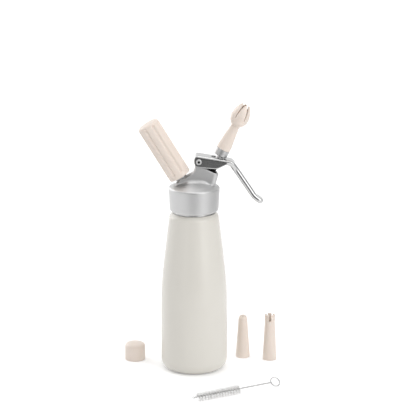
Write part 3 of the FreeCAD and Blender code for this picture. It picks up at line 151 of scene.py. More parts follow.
def make_lathe_rings():
    """Fine turning marks round an axis that leans from Z towards X."""
    tree, entry, leave = new_group("lathe rings", {"Lean": 0.0, "Ring Spacing": 0.3}, ("Height",))
    turn_back = maths(tree, "MULTIPLY", entry.outputs["Lean"], -1.0)
    upright = node(tree, "ShaderNodeVectorRotate", {"rotation_type": "Y_AXIS"},
                   Vector=surface_point(tree), Angle=turn_back)
    parts = node(tree, "ShaderNodeSeparateXYZ", Vector=upright.outputs[0])
    along = maths(tree, "DIVIDE", maths(tree, "MULTIPLY", parts.outputs["Z"], 1 / MM),
                  entry.outputs["Ring Spacing"])
    flat = node(tree, "ShaderNodeCombineXYZ", Z=along)
    rings = node(tree, "ShaderNodeTexNoise", Vector=flat.outputs[0], Scale=1.0, Detail=4.0,
                 Roughness=0.7)
    feed(tree, leave.inputs["Height"], rings.outputs[0])
    return tree


def make_edge_wear_and_shade():
    """Corners rubbed bright, broken up by noise, and hollows darkened as painted shade."""
    tree, entry, leave = new_group("edge wear and hollow shade", {"Patch Size": 3.0, "Amount": 0.5},
                                   ("Edges", "Hollow Shade"))
    sharpness = node(tree, "ShaderNodeNewGeometry").outputs["Pointiness"]
    scale = maths(tree, "DIVIDE", 1 / MM, entry.outputs["Patch Size"])
    patches = node(tree, "ShaderNodeTexNoise", Vector=surface_point(tree), Scale=scale, Detail=3.0)
    broken = maths(tree, "MULTIPLY", spread(tree, sharpness, 0.57, 0.66), patches.outputs[0])
    feed(tree, leave.inputs["Edges"], maths(tree, "MULTIPLY", broken, entry.outputs["Amount"]))
    # Where the surface curves inward, this mask gives painted shade.
    feed(tree, leave.inputs["Hollow Shade"], spread(tree, sharpness, 0.475, 0.42))
    return tree


def make_room_dim():
    """How dim the room is by direction: dark behind the camera, dim to the far right and above."""
    tree, entry, leave = new_group("room dim", {"Across": 0.0, "Ahead": 0.0, "Up": 0.0}, ("Dim",))
    ahead = spread(tree, entry.outputs["Ahead"], -0.8, -0.975, 0.0, 0.93)
    right = spread(tree, entry.outputs["Across"], 0.58, 0.94, 0.0, 0.65)
    left = spread(tree, entry.outputs["Across"], -0.25, -0.75, 0.0, 0.28)
    ceiling = spread(tree, entry.outputs["Up"], 0.5, 0.8, 0.0, 0.5)
    sides = maths(tree, "MAXIMUM", right, left)
    around = maths(tree, "MAXIMUM", ahead, sides)
    feed(tree, leave.inputs["Dim"], maths(tree, "MAXIMUM", around, ceiling))
    return tree


FINE_GRAIN = make_fine_grain()
LATHE_RINGS = make_lathe_rings()
EDGE_WEAR_AND_SHADE = make_edge_wear_and_shade()
ROOM_DIM = make_room_dim()


def effect(tree, group, **inputs):
    made = tree.nodes.new("ShaderNodeGroup")
    made.node_tree = group
    for name, source in inputs.items():
        feed(tree, made.inputs[name.replace("_", " ")], source)
    return made.outputs


def new_material(name, **shader_values):
    """An empty material with its shader, whose even values are set on the shader itself."""
    material = bpy.data.materials.new(name)
    material.use_nodes = True
    tree = material.node_tree
    tree.nodes.clear()
    shader = node(tree, "ShaderNodeBsdfPrincipled", **shader_values)
    node(tree, "ShaderNodeOutputMaterial", Surface=shader.outputs[0])
    return material, tree, shader


def bump(tree, shader, height, depth_mm):
    made = node(tree, "ShaderNodeBump", Height=height, Distance=depth_mm * MM, Strength=1.0)
    feed(tree, shader.inputs["Normal"], made.outputs[0])


# Finishes. Heights and radii that a shader reads are in millimetres.

PAINT_EDGE = 196.0
BORE_RADIUS = 21.9
FOOT_HEIGHT = 1.0


def make_bare_metal():
    """Where the bottle is unpainted: its threaded neck and its inside, with upright light and dark
    bands that are painted reflection.
    """
    tree, entry, leave = new_group("bare metal",
                                   {"Paint Edge": PAINT_EDGE, "Bore Radius": BORE_RADIUS},
                                   ("Mask", "Inside", "Reflection Bands"))
    parts = node(tree, "ShaderNodeSeparateXYZ", Vector=surface_point(tree))
    across = node(tree, "ShaderNodeCombineXYZ", X=parts.outputs["X"], Y=parts.outputs["Y"])
    radius = node(tree, "ShaderNodeVectorMath", {"operation": "LENGTH"}, (across.outputs[0],))
    level = maths(tree, "MULTIPLY", parts.outputs["Z"], 1 / MM)
    reach = maths(tree, "MULTIPLY", radius.outputs["Value"], 1 / MM)
    neck = maths(tree, "GREATER_THAN", level, entry.outputs["Paint Edge"])
    inside = maths(tree, "LESS_THAN", reach, entry.outputs["Bore Radius"])
    off_floor = maths(tree, "GREATER_THAN", level, FOOT_HEIGHT)
    inside = maths(tree, "MULTIPLY", inside, off_floor)
    feed(tree, leave.inputs["Mask"], maths(tree, "MAXIMUM", neck, inside))
    feed(tree, leave.inputs["Inside"], inside)
    # Light and dark bands by heading round the axis stand in for the reflections seen down the
    # bore: painted reflection.
    heading = node(tree, "ShaderNodeVectorMath", {"operation": "NORMALIZE"}, (across.outputs[0],))
    bands = node(tree, "ShaderNodeTexNoise", Vector=heading.outputs["Vector"], Scale=2.6,
                 Detail=1.0)
    feed(tree, leave.inputs["Reflection Bands"], spread(tree, bands.outputs[0], 0.36, 0.64))
    return tree


BARE_METAL = make_bare_metal()


def bottle_paint():
    """Smooth off-white paint with a faint orange peel; the neck and the inside are turned metal,
    and the inside carries painted reflection bands.
    """
    material, tree, shader = new_material("bottle paint", Coat_Roughness=0.12)
    grain = effect(tree, FINE_GRAIN, Grain_Size=1.1, Drift_Size=45.0)
    rings = effect(tree, LATHE_RINGS, Lean=0.0, Ring_Spacing=0.25)
    unpainted = effect(tree, BARE_METAL, Paint_Edge=PAINT_EDGE, Bore_Radius=BORE_RADIUS)
    bare = unpainted["Mask"]
    paint = blend_colours(tree, grain["Drift"], linear("DAD6CE"), linear("DEDBD3"))
    metal = blend_colours(tree, rings["Height"], linear("E0E0E0"), linear("ECECEC"))
    # The inside's colour runs between C4C4C4 and FCFCFC in upright bands: painted reflection.
    painted_reflection_bands = blend_colours(tree, unpainted["Reflection Bands"], linear("C4C4C4"), linear("FCFCFC"))
    metal = blend_colours(tree, unpainted["Inside"], metal, painted_reflection_bands)
    feed(tree, shader.inputs["Base Color"], blend_colours(tree, bare, paint, metal))
    feed(tree, shader.inputs["Metallic"], bare)
    painted_rough = spread(tree, grain["Drift"], 0, 1, 0.42, 0.5)
    turned_rough = spread(tree, rings["Height"], 0.3, 0.7, 0.34, 0.42)
    duller_inside = maths(tree, "MULTIPLY", unpainted["Inside"], 0.22)
    bare_rough = maths(tree, "ADD", turned_rough, duller_inside)
    rough = node(tree, "ShaderNodeMix", Factor=bare, A=painted_rough, B=bare_rough)
    feed(tree, shader.inputs["Roughness"], rough.outputs[0])
    painted = maths(tree, "SUBTRACT", 1.0, bare)
    feed(tree, shader.inputs["Coat Weight"], maths(tree, "MULTIPLY", painted, 0.5))
    skin = node(tree, "ShaderNodeMix", Factor=bare, A=grain["Height"], B=rings["Height"])
    bump(tree, shader, skin.outputs[0], 0.012)
    return material


def grained(name, grain_mm, drift_mm, colours, roughness, depth_mm, **shader_values):
    """A fine-grained surface that drifts slowly from one colour and roughness to another."""
    material, tree, shader = new_material(name, **shader_values)
    grain = effect(tree, FINE_GRAIN, Grain_Size=grain_mm, Drift_Size=drift_mm)
    first, second = (linear(colour) for colour in colours)
    feed(tree, shader.inputs["Base Color"], blend_colours(tree, grain["Drift"], first, second))
    feed(tree, shader.inputs["Roughness"], spread(tree, grain["Drift"], 0, 1, *roughness))
    if depth_mm:
        bump(tree, shader, grain["Height"], depth_mm)
    return material


def cast_metal(name, low, high, roughness, depth):
    """Cast and tumbled aluminium: fine pits and soft patches."""
    rough = (roughness - 0.015, roughness + 0.015)
    return grained(name, 0.45, 14.0, (low, high), rough, depth, Metallic=1.0)


def turned_metal(name, lean, low, high, roughness, spacing=0.3):
    """Turned metal with fine rings round its axis."""
    material, tree, shader = new_material(name, Metallic=1.0)
    rings = effect(tree, LATHE_RINGS, Lean=lean, Ring_Spacing=spacing)
    wear_and_shade = effect(tree, EDGE_WEAR_AND_SHADE, Patch_Size=1.5, Amount=0.7)
    base = blend_colours(tree, rings["Height"], linear(low), linear(high))
    worn = blend_colours(tree, wear_and_shade["Edges"], base, linear("F0F0F0"))
    feed(tree, shader.inputs["Base Color"], worn)
    feed(tree, shader.inputs["Roughness"],
         spread(tree, rings["Height"], 0.3, 0.7, roughness - 0.06, roughness + 0.08))
    bump(tree, shader, rings["Height"], 0.02)
    return material


def zinc_plate():
    """Bright zinc on a pressed screw: pale, a little cloudy, with painted shade in its hollows."""
    material, tree, shader = new_material("zinc plate", Metallic=0.55)
    grain = effect(tree, FINE_GRAIN, Grain_Size=0.3, Drift_Size=2.0)
    wear_and_shade = effect(tree, EDGE_WEAR_AND_SHADE, Patch_Size=1.0, Amount=0.8)
    plated = blend_colours(tree, grain["Drift"], linear("CCCCCC"), linear("DADADA"))
    # Inward-curving places are darkened towards 5A5A5A: painted shade.
    shaded_in_hollows = blend_colours(tree, wear_and_shade["Hollow Shade"], plated, linear("5A5A5A"))
    feed(tree, shader.inputs["Base Color"], shaded_in_hollows)
    feed(tree, shader.inputs["Roughness"], spread(tree, grain["Drift"], 0, 1, 0.26, 0.34))
    bump(tree, shader, grain["Height"], 0.006)
    return material


PAINT = bottle_paint()
HEAD_METAL = cast_metal("cast aluminium", "CECECE", "D3D3D3", 0.5, 0.015)
LEVER_METAL = cast_metal("polished casting", "C8C8C8", "CCCCCC", 0.2, 0.003)
VALVE_METAL = turned_metal("turned aluminium, leaning right", VALVE_LEAN, "C2C2C2", "CCCCCC",
                           0.42)
NECK_METAL = turned_metal("turned aluminium, leaning left", NECK_LEAN, "B2B2B2", "C8C8C8", 0.4)
STEEL = turned_metal("stainless steel", VALVE_LEAN, "C0C0C0", "D8D8D8", 0.2, 0.15)
# The gland nut is turned metal coloured near black.
GLAND_METAL = turned_metal("near-black gland", VALVE_LEAN, "1A1A1A", "262626", 0.42)
STEM_STEEL = turned_metal("satin steel", VALVE_LEAN, "D2D2D2", "E2E2E2", 0.4)
SCREW_METAL = zinc_plate()
# Near black for the faces down in the screw's hexagon socket: painted shade.
SOCKET_SHADE = cast_metal("painted socket shade", "2A2A2A", "383838", 0.5, 0.01)
PLASTIC = grained("beige plastic", 0.7, 40.0, ("E7DACF", "EADDD3"), (0.27, 0.33), 0.006,
                  Subsurface_Weight=0.1, Subsurface_Scale=0.0015,
                  Subsurface_Radius=(1.0, 0.8, 0.65))
SILICONE = grained("silicone", 0.9, 8.0, ("E2E2E1", "E9E9E8"), (0.4, 0.52), 0.01,
                   Subsurface_Weight=0.8, Subsurface_Scale=0.006,
                   Subsurface_Radius=(1.0, 1.0, 1.0))
RUBBER = grained("black rubber", 0.25, 5.0, ("171717", "212121"), (0.5, 0.62), 0.02)
NYLON = grained("nylon", 0.3, 3.0, ("F2F1EF", "FCFBFA"), (0.3, 0.4), 0,
                Subsurface_Weight=0.2, Subsurface_Scale=0.001,
                Subsurface_Radius=(1.0, 1.0, 1.0))

NODE_FINISHES = {
    "bottle": PAINT,
    "head_gasket": SILICONE,
    "head_body": HEAD_METAL,
    "charger_neck": NECK_METAL,
    "gland_nut": GLAND_METAL,
    "thrust_collar": VALVE_METAL,
    "nozzle_adapter": VALVE_METAL,
    "valve_nut": STEEL,
    "valve_stem": STEM_STEEL,
    "valve_spring": STEEL,
    "pivot_screw": STEEL,
    "pivot_sleeve": STEEL,
    "piercing_pin": STEEL,
    "gas_charger": STEEL,
    "lever": LEVER_METAL,
    "neck_washer": SILICONE,
    "pin_seal": RUBBER,
    "inlet_valve": RUBBER,
    "stem_o_ring": RUBBER,
    "valve_seal": RUBBER,
    "adapter_o_ring": RUBBER,
    "charger_holder": PLASTIC,
    "neck_cap": PLASTIC,
    "tulip_nozzle": PLASTIC,
    "star_nozzle": PLASTIC,
    "crown_nozzle": PLASTIC,
    "brush_wire": STEEL,
    "brush_bristles": NYLON,
}


def dress(obj, material):
    obj.data.materials.clear()
    obj.data.materials.append(material)


for node_name, finish in NODE_FINISHES.items():
    dress(nodes[node_name], finish)


# Meshes.

def add_piece(name, mesh, material, body, replaced):
    """Put a finished mesh in the scene, in place of some nodes, to ride on a body."""
    piece = bpy.data.objects.new(name, mesh)
    bpy.context.scene.collection.objects.link(piece)
    dress(piece, material)
    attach(piece, body)
    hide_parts(*replaced)
    return piece


def add_tube(bm, path, radius, sides):
    """A round tube along a path, with closed ends."""
    loops = []
    side = Vector((0, 0, 1))
    for i, point in enumerate(path):
        ahead = path[min(i + 1, len(path) - 1)] - path[max(i - 1, 0)]
        ahead.normalize()
        side = side - ahead * side.dot(ahead)
        if side.length < 1e-6:
            side = ahead.orthogonal()
        side.normalize()
        up = ahead.cross(side)
        ring = []
        for k in range(sides):
            turn = math.tau * k / sides
            offset = side * math.cos(turn) + up * math.sin(turn)
            ring.append(bm.verts.new(point + offset * radius))
        loops.append(ring)
    for first, second in zip(loops, loops[1:]):
        for k in range(sides):
            n = (k + 1) % sides
            bm.faces.new((first[k], first[n], second[n], second[k]))
    bm.faces.new(reversed(loops[0]))
    bm.faces.new(loops[-1])


def add_ring(bm, centre, across, upward, major, minor, steps=72, sides=10):
    """A closed round ring of wire in the plane of two directions."""
    normal = across.cross(upward).normalized()
    loops = []
    for i in range(steps):
        turn = math.tau * i / steps
        out = across * math.cos(turn) + upward * math.sin(turn)
        ring = []
        for k in range(sides):
            lift = math.tau * k / sides
            offset = out * (major + minor * math.cos(lift)) + normal * (minor * math.sin(lift))
            ring.append(bm.verts.new(centre + offset))
        loops.append(ring)
    for i in range(steps):
        first, second = loops[i], loops[(i + 1) % steps]
        for k in range(sides):
            n = (k + 1) % sides
            bm.faces.new((first[k], second[k], second[n], first[n]))


def finish_mesh(bm, name):
    mesh = bpy.data.meshes.new(name)
    bmesh.ops.recalc_face_normals(bm, faces=bm.faces)
    bm.to_mesh(mesh)
    bm.free()
    mesh.shade_smooth()
    return mesh


def even_net(node_name, step):
    """A node's solid as an even net of small faces, ready to be shaped."""
    rough = bpy.data.objects.new(node_name + " rough", nodes[node_name].data.copy())
    bpy.context.scene.collection.objects.link(rough)
    remesh = rough.modifiers.new("net", "REMESH")
    remesh.mode = "VOXEL"
    remesh.voxel_size = step
    depsgraph = bpy.context.evaluated_depsgraph_get()
    mesh = bpy.data.meshes.new_from_object(rough.evaluated_get(depsgraph))
    solid_copy = rough.data
    bpy.data.objects.remove(rough)
    bpy.data.meshes.remove(solid_copy)
    mesh.name = node_name
    return mesh


def points_of(mesh):
    flat = numpy.empty(len(mesh.vertices) * 3)
    mesh.vertices.foreach_get("co", flat)
    return flat.reshape(-1, 3)


def put_points(mesh, points):
    mesh.vertices.foreach_set("co", points.ravel())
    mesh.update()


def ease(mesh, passes, share=0.5):
    """Draw each point towards the middle of its neighbours, by one share or each by its own."""
    points = points_of(mesh)
    ends = numpy.empty(len(mesh.edges) * 2, dtype=int)
    mesh.edges.foreach_get("vertices", ends)
    first, second = ends[0::2], ends[1::2]
    count = len(points)
    neighbours = numpy.bincount(ends, minlength=count)
    for _ in range(passes):
        middle_sum = numpy.empty_like(points)
        for axis in range(3):
            middle_sum[:, axis] = (numpy.bincount(first, points[second, axis], count)
                                   + numpy.bincount(second, points[first, axis], count))
        drawn = middle_sum / neighbours[:, None] - points
        points += drawn * numpy.reshape(share, (-1, 1))
    put_points(mesh, points)


def ramp(values, low, high):
    """0 below low, 1 above high and a smooth rise between them."""
    share = numpy.clip((values - low) / (high - low), 0, 1)
    return share * share * (3 - 2 * share)


# Cast head: its fin runs out into the dome in a soft cove, and its discharge end is round.

FIN_HALF = 7.5 * MM
FIN_LEFT = -21.0 * MM
FIN_RIGHT = 25.5 * MM
FIN_RIGHT_FOOT = 30.9 * MM
FIN_RIGHT_LEAN = 0.28
DOME_TOP = 36.2 * MM
DOME_CURVE = 63.75 * MM
COVE = 4.6 * MM
COVE_FADES_RIGHT = (10 * MM, 21 * MM)
COVE_FADES_LEFT = (6 * MM, 16 * MM)
ON_SURFACE = 0.3 * MM
FIN_END_ROUND = 6.0 * MM


def cast_head():
    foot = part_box("head_body")[0].z
    mesh = even_net("head_body", 0.45 * MM)
    points = points_of(mesh)
    x, y, z = points.T.copy()
    reach = numpy.hypot(x, y)
    dome_centre = foot + DOME_TOP - DOME_CURVE
    dome = dome_centre + numpy.sqrt(numpy.maximum(DOME_CURVE ** 2 - reach ** 2, 0))
    rise = z - dome
    lean = FIN_RIGHT_LEAN * numpy.maximum(z - (foot + FIN_RIGHT_FOOT), 0)
    along = x - lean
    along, y = rounded_end(along, y, rise)
    hub_x, hub_y = FIN_RIGHT - FIN_END_ROUND, FIN_HALF - FIN_END_ROUND
    at_end = along > hub_x
    out_x, out_y = along - hub_x, y - numpy.clip(y, -hub_y, hub_y)
    out = numpy.maximum(numpy.hypot(out_x, out_y), 1e-9)
    beside = numpy.where(at_end, out - FIN_END_ROUND, numpy.abs(y) - FIN_HALF)
    push_x = numpy.where(at_end, out_x / out, 0)
    push_y = numpy.where(at_end, out_y / out, numpy.sign(y))
    # The cove is an arc that touches the dome and the fin, and is smaller towards both ends.
    cove = COVE * (1 - 0.8 * ramp(x, *COVE_FADES_RIGHT)) * (1 - 0.6 * ramp(-x, *COVE_FADES_LEFT))
    on_dome = (numpy.abs(rise) < ON_SURFACE) & (beside > 0) & (beside < cove)
    on_fin = (numpy.abs(beside) < ON_SURFACE) & (rise > 0) & (rise < cove)
    moved = (on_dome | on_fin) & (x > FIN_LEFT)
    angle = numpy.where(on_dome, 1 + beside / cove, 1 - rise / cove) * math.pi / 4
    aside = numpy.where(moved, cove * (1 - numpy.cos(angle)) - beside, 0)
    raised = numpy.where(moved, cove * (1 - numpy.sin(angle)) - rise, 0)
    x, y, z = along + lean + push_x * aside, y + push_y * aside, z + raised
    put_points(mesh, numpy.column_stack((x, y, z)))
    ease(mesh, 5)
    ease(mesh, 10, 0.5 * ramp(rise, 0.5 * MM, 2 * MM))
    mesh.shade_smooth()
    return mesh


def rounded_end(along, y, rise):
    """Round the fin's discharge end as seen from above, over the dome only."""
    hub_x, hub_y = FIN_RIGHT - FIN_END_ROUND, FIN_HALF - FIN_END_ROUND
    out_x, out_y = along - hub_x, numpy.abs(y) - hub_y
    out = numpy.hypot(out_x, out_y)
    near = out < FIN_END_ROUND * 1.5
    corner = (rise > 0.2 * MM) & (out_x > 0) & (out_y > 0) & (out > FIN_END_ROUND) & near
    pull = FIN_END_ROUND / numpy.maximum(out, 1e-9)
    return (numpy.where(corner, hub_x + out_x * pull, along),
            numpy.where(corner, numpy.sign(y) * (hub_y + out_y * pull), y))


add_piece("cast_head", cast_head(), HEAD_METAL, "head", ["head_body"])


# Charger holder: broad soft flutes between round ribs.

FLUTES = 8
FLUTE_TURN = math.radians(-20)
FLUTE_HALF_WIDTH = 2.6 * MM
FLUTE_DEPTH = 1.9 * MM
FLUTE_FOOT_MARGIN = 5.2 * MM
FLUTE_TOP_MARGIN = 2.6 * MM
FLUTE_RUN = 1.6 * MM
HOLDER_RADIUS = 13.75 * MM
HOLDER_LENGTH = 76 * MM
HOLDER_START = 4 * MM
HOLDER_WALL = 2 * MM
HOLDER_END_ROUND = 4.2 * MM


def charger_holder():
    mesh = even_net("charger_holder", 0.4 * MM)
    points = points_of(mesh)
    axis = numpy.array(NECK_AXIS)
    front = numpy.array((NECK_AXIS.z, 0, -NECK_AXIS.x))
    side = numpy.cross(axis, front)
    start = numpy.array(NECK_FOOT)
    along = (points - start) @ axis - HOLDER_START
    across, back = (points - start) @ front, (points - start) @ side
    radius = numpy.hypot(across, back)
    turn = numpy.arctan2(back, across) - FLUTE_TURN
    step = math.tau / FLUTES
    off = ((turn + step / 2) % step - step / 2) * HOLDER_RADIUS
    flute_top = HOLDER_LENGTH - FLUTE_TOP_MARGIN
    run_in = ramp(along, FLUTE_FOOT_MARGIN, FLUTE_FOOT_MARGIN + FLUTE_RUN)
    run_out = 1 - ramp(along, flute_top - FLUTE_RUN, flute_top)
    hollow = FLUTE_DEPTH * (1 - ramp(numpy.abs(off), 0, FLUTE_HALF_WIDTH)) * run_in * run_out
    wall = radius > HOLDER_RADIUS - HOLDER_WALL
    wall &= (along > HOLDER_WALL) & (along < HOLDER_LENGTH - HOLDER_END_ROUND)
    target = numpy.where(wall, HOLDER_RADIUS - hollow, radius)
    pull = target / numpy.maximum(radius, 1e-9) - 1
    points += (front * across[:, None] + side * back[:, None]) * pull[:, None]
    put_points(mesh, points)
    ease(mesh, 6)
    mesh.shade_smooth()
    return mesh


add_piece("fluted_holder", charger_holder(), PLASTIC, "holder", ["charger_holder"])


# Lever: polished, with well rounded edges and a spoon end. Its side outline, from the pivot:
# a straight web, a bend, the bar, a kick and the paddle.

WEB_SLOPE = math.radians(9.5)
WEB_TOP = 7.345 * MM
WEB_EDGE = 3.0 * MM
BEND_REACH = 41.3 * MM
BEND_ROUND = 10.95 * MM
BAR_LEAN = math.radians(33.8)
BAR_LENGTH = 50.8 * MM
BAR_THICKNESS = 7.3 * MM
BAR_EDGE = 3.5 * MM
LEVER_HALF = 10.5 * MM
PADDLE_LEAN = math.radians(53.6)
PADDLE_HALF = 8.2 * MM
PADDLE_ZONE = 20 * MM
SPOON_HOLLOW = 0.7 * MM
TIP_ROUND = BAR_THICKNESS / 2
BOSS_END_ROUND = 7.6 * MM
BOSS_END_X = 1.6 * MM
BOSS_END_Z = 0.8 * MM
HANDLE_STARTS = (36 * MM, 44 * MM)      # how far right of the pivot
KICK_STARTS = (22 * MM, 15 * MM)        # how far before the tip
TIP_STARTS = (8 * MM, 3 * MM)


def below_outer_face(x, z):
    """For points of the lever: depth under its outer face, the way out, and how far along."""
    over_web = numpy.array((math.sin(WEB_SLOPE), math.cos(WEB_SLOPE)))
    over_bar = numpy.array((math.cos(BAR_LEAN), math.sin(BAR_LEAN)))
    over_paddle = numpy.array((math.cos(PADDLE_LEAN), math.sin(PADDLE_LEAN)))
    down_bar = numpy.array((math.sin(BAR_LEAN), -math.cos(BAR_LEAN)))
    points = numpy.column_stack((x, z))
    bend = numpy.array((BEND_REACH, (WEB_TOP - BEND_REACH * over_web[0]) / over_web[1]))
    kick = bend + down_bar * BAR_LENGTH
    hub = bend - (over_web + over_bar) * BEND_ROUND / (1 + over_web @ over_bar)
    from_hub = points - hub
    reach = numpy.maximum(numpy.hypot(*from_hub.T), 1e-9)
    run = (points - bend) @ down_bar
    under_web, under_bar = (bend - points) @ over_web, (bend - points) @ over_bar
    under_paddle = (kick - points) @ over_paddle
    past_web = from_hub @ numpy.array((over_web[1], -over_web[0])) > 0
    before_bar = from_hub @ down_bar < 0
    on_paddle = (run > BAR_LENGTH - 15 * MM) & (under_paddle > under_bar)
    choices = [past_web & before_bar, ~past_web, on_paddle]
    depth = numpy.select(choices, [BEND_ROUND - reach, under_web, under_paddle], under_bar)
    way = numpy.where(choices[0][:, None], from_hub / reach[:, None], over_bar)
    way = numpy.where((~past_web)[:, None], over_web, way)
    way = numpy.where((on_paddle & past_web & ~before_bar)[:, None], over_paddle, way)
    return depth, way, run, past_web


def widest_by_height(y, z):
    """The half width, at each point's own height, of the piece that the points make up."""
    slices = numpy.round(z / MM).astype(int)
    lowest = slices.min()
    widest = numpy.zeros(slices.max() - lowest + 1)
    numpy.maximum.at(widest, slices - lowest, numpy.abs(y))
    levels = (numpy.arange(len(widest)) + lowest) * MM
    return numpy.interp(z, levels[widest > 0], widest[widest > 0])


def round_long_edges(x, y, z):
    """Round the lever's long edges: widely above the web, and right over the bar's sides."""
    depth, way, run, past_web = below_outer_face(x, z)
    handle = past_web & (depth < BAR_THICKNESS + 0.5 * MM)
    half = numpy.full(len(x), LEVER_HALF)
    half[handle] = widest_by_height(y[handle], z[handle])
    on_bar = ramp(run, -4 * MM, 6 * MM)
    for upper in (True, False):
        edge = (WEB_EDGE if upper else 0) * (1 - on_bar) + BAR_EDGE * on_bar
        inward = depth if upper else BAR_THICKNESS - depth
        out_y, out_depth = numpy.abs(y) - (half - edge), edge - inward
        out = numpy.maximum(numpy.hypot(out_y, out_depth), 1e-9)
        cut = (out_y > 0) & (out_depth > 0) & (out > edge) & (upper | handle)
        pull = numpy.where(cut, 1 - edge / out, 0)
        y = y - numpy.sign(y) * out_y * pull
        shift = out_depth * pull * (-1 if upper else 1)
        x, z = x + way[:, 0] * shift, z + way[:, 1] * shift
        depth = depth - shift
    return x, y, z


def round_boss_end(x, z):
    """Round the pivot's end of the lever as seen from the side."""
    out_x, out_z = x - BOSS_END_X, z - BOSS_END_Z
    out = numpy.maximum(numpy.hypot(out_x, out_z), 1e-9)
    pull = numpy.where((out_x < 0) & (out > BOSS_END_ROUND), BOSS_END_ROUND / out - 1, 0)
    return x + out_x * pull, z + out_z * pull


def shape_paddle(points, at_end):
    """Round the paddle's end as seen from above and from the side, and hollow it like a spoon."""
    down = numpy.array((math.sin(PADDLE_LEAN), 0, -math.cos(PADDLE_LEAN)))
    outward = numpy.array((math.cos(PADDLE_LEAN), 0, math.sin(PADDLE_LEAN)))
    tip = (points[at_end] @ down).max()
    face = (points @ outward)[at_end & (points @ down > tip - 6 * MM)].max()
    run = points @ down - (tip - PADDLE_HALF)
    out = numpy.hypot(run, points[:, 1])
    round_off = (run > 0) & (out > PADDLE_HALF) & at_end
    pull = numpy.where(round_off, PADDLE_HALF / numpy.maximum(out, 1e-9), 1.0)
    points += down * (run * (pull - 1))[:, None]
    points[:, 1] *= pull
    over, across = run * pull - PADDLE_HALF + TIP_ROUND, face - TIP_ROUND - points @ outward
    out = numpy.maximum(numpy.hypot(over, across), 1e-9)
    pull = numpy.where((over > 0) & (out > TIP_ROUND) & at_end, TIP_ROUND / out - 1, 0)
    points += (down * over[:, None] - outward * across[:, None]) * pull[:, None]
    centre = tip - PADDLE_HALF * 1.15
    along = (points @ down - centre) / (PADDLE_HALF * 0.85)
    dish = numpy.clip(1 - along ** 2 - (points[:, 1] / (PADDLE_HALF * 0.7)) ** 2, 0, 1)
    dish *= (face - points @ outward < BAR_THICKNESS * 0.4) & at_end
    points -= outward * (dish * SPOON_HOLLOW)[:, None]
    return points @ down, tip


def polished_lever():
    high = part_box("lever")[1]
    pivot = middle("pivot_sleeve")
    mesh = even_net("lever", 0.35 * MM)
    points = points_of(mesh)
    x, z = round_boss_end(points[:, 0] - pivot.x, points[:, 2] - pivot.z)
    x, y, z = round_long_edges(x, points[:, 1], z)
    points = numpy.column_stack((x + pivot.x, y, z + pivot.z))
    run, tip = shape_paddle(points, points[:, 0] > high.x - PADDLE_ZONE)
    put_points(mesh, points)
    handle = ramp(points[:, 0] - pivot.x, *HANDLE_STARTS)
    ease(mesh, 8)
    ease(mesh, 16, 0.5 * handle)
    ease(mesh, 60, 0.5 * ramp(run, *(tip - before for before in KICK_STARTS)))
    ease(mesh, 120, 0.5 * ramp(run, *(tip - before for before in TIP_STARTS)))
    mesh.shade_smooth()
    return mesh


add_piece("polished_lever", polished_lever(), LEVER_METAL, "lever", ["lever"])


# Pivot screw: a round button head with a hexagon socket, and its shank in the sleeve behind.

SCREW_HEAD = 3.4 * MM
SCREW_HEAD_HEIGHT = 1.6 * MM
SCREW_HEAD_ROUND = 1.1 * MM
SCREW_SHANK = 1.5 * MM
HEX_HALF = 1.5 * MM
HEX_LEAD_IN = 0.2 * MM
HEX_DEPTH = 1.3 * MM
HEX_FLOOR = 1.45 * MM
SCREW_STEPS = 48


def socket_screw():
    """The screw as rings from its far end to the socket's floor: radius or apothem, and depth."""
    low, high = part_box("pivot_screw")
    centre = (low + high) / 2
    length = high.y - low.y
    profile = [(0, 0, length), (SCREW_SHANK, 0, length), (SCREW_SHANK, 0, SCREW_HEAD_HEIGHT),
               (SCREW_HEAD, 0, SCREW_HEAD_HEIGHT)]
    profile += [(SCREW_HEAD - SCREW_HEAD_ROUND * (1 - math.cos(t)), 0,
                 SCREW_HEAD_ROUND * (1 - math.sin(t)))
                for t in [math.pi / 2 * k / 6 for k in range(7)]]
    profile += [(0, HEX_HALF * 1.12, 0), (0, HEX_HALF, HEX_LEAD_IN), (0, HEX_HALF, HEX_DEPTH),
                (0, HEX_HALF * 0.3, HEX_FLOOR)]
    bm = bmesh.new()
    loops = []
    for radius, apothem, depth in profile:
        ring = []
        for k in range(SCREW_STEPS):
            turn = math.tau * k / SCREW_STEPS
            reach = radius
            if apothem:
                reach = apothem / math.cos((turn % (math.pi / 3)) - math.pi / 6)
            ring.append(bm.verts.new((centre.x + reach * math.cos(turn), low.y + depth,
                                      centre.z + reach * math.sin(turn))))
        loops.append(ring)
    for first, second in zip(loops, loops[1:]):
        for k in range(SCREW_STEPS):
            n = (k + 1) % SCREW_STEPS
            bm.faces.new((first[k], first[n], second[n], second[k]))
    bm.faces.new(loops[-1])
    bmesh.ops.remove_doubles(bm, verts=bm.verts, dist=1e-7)
    return finish_mesh(bm, "socket_screw")


def darken_socket(piece):
    """Give the faces down in the hexagon socket a near-black material of its own, as painted shade.
    """
    piece.data.materials.append(SOCKET_SHADE)
    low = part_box("pivot_screw")[0]
    centre = middle("pivot_screw")
    for face in piece.data.polygons:
        reach = math.hypot(face.center.x - centre.x, face.center.z - centre.z)
        depth = face.center.y - low.y
        if reach < HEX_HALF * 1.1 and 0.25 * MM < depth < 1.5 * MM:
            face.material_index = 1


screw = add_piece("socket_screw", socket_screw(), SCREW_METAL, "head",
                  ["pivot_screw"])
darken_socket(screw)


# Cleaning brush.

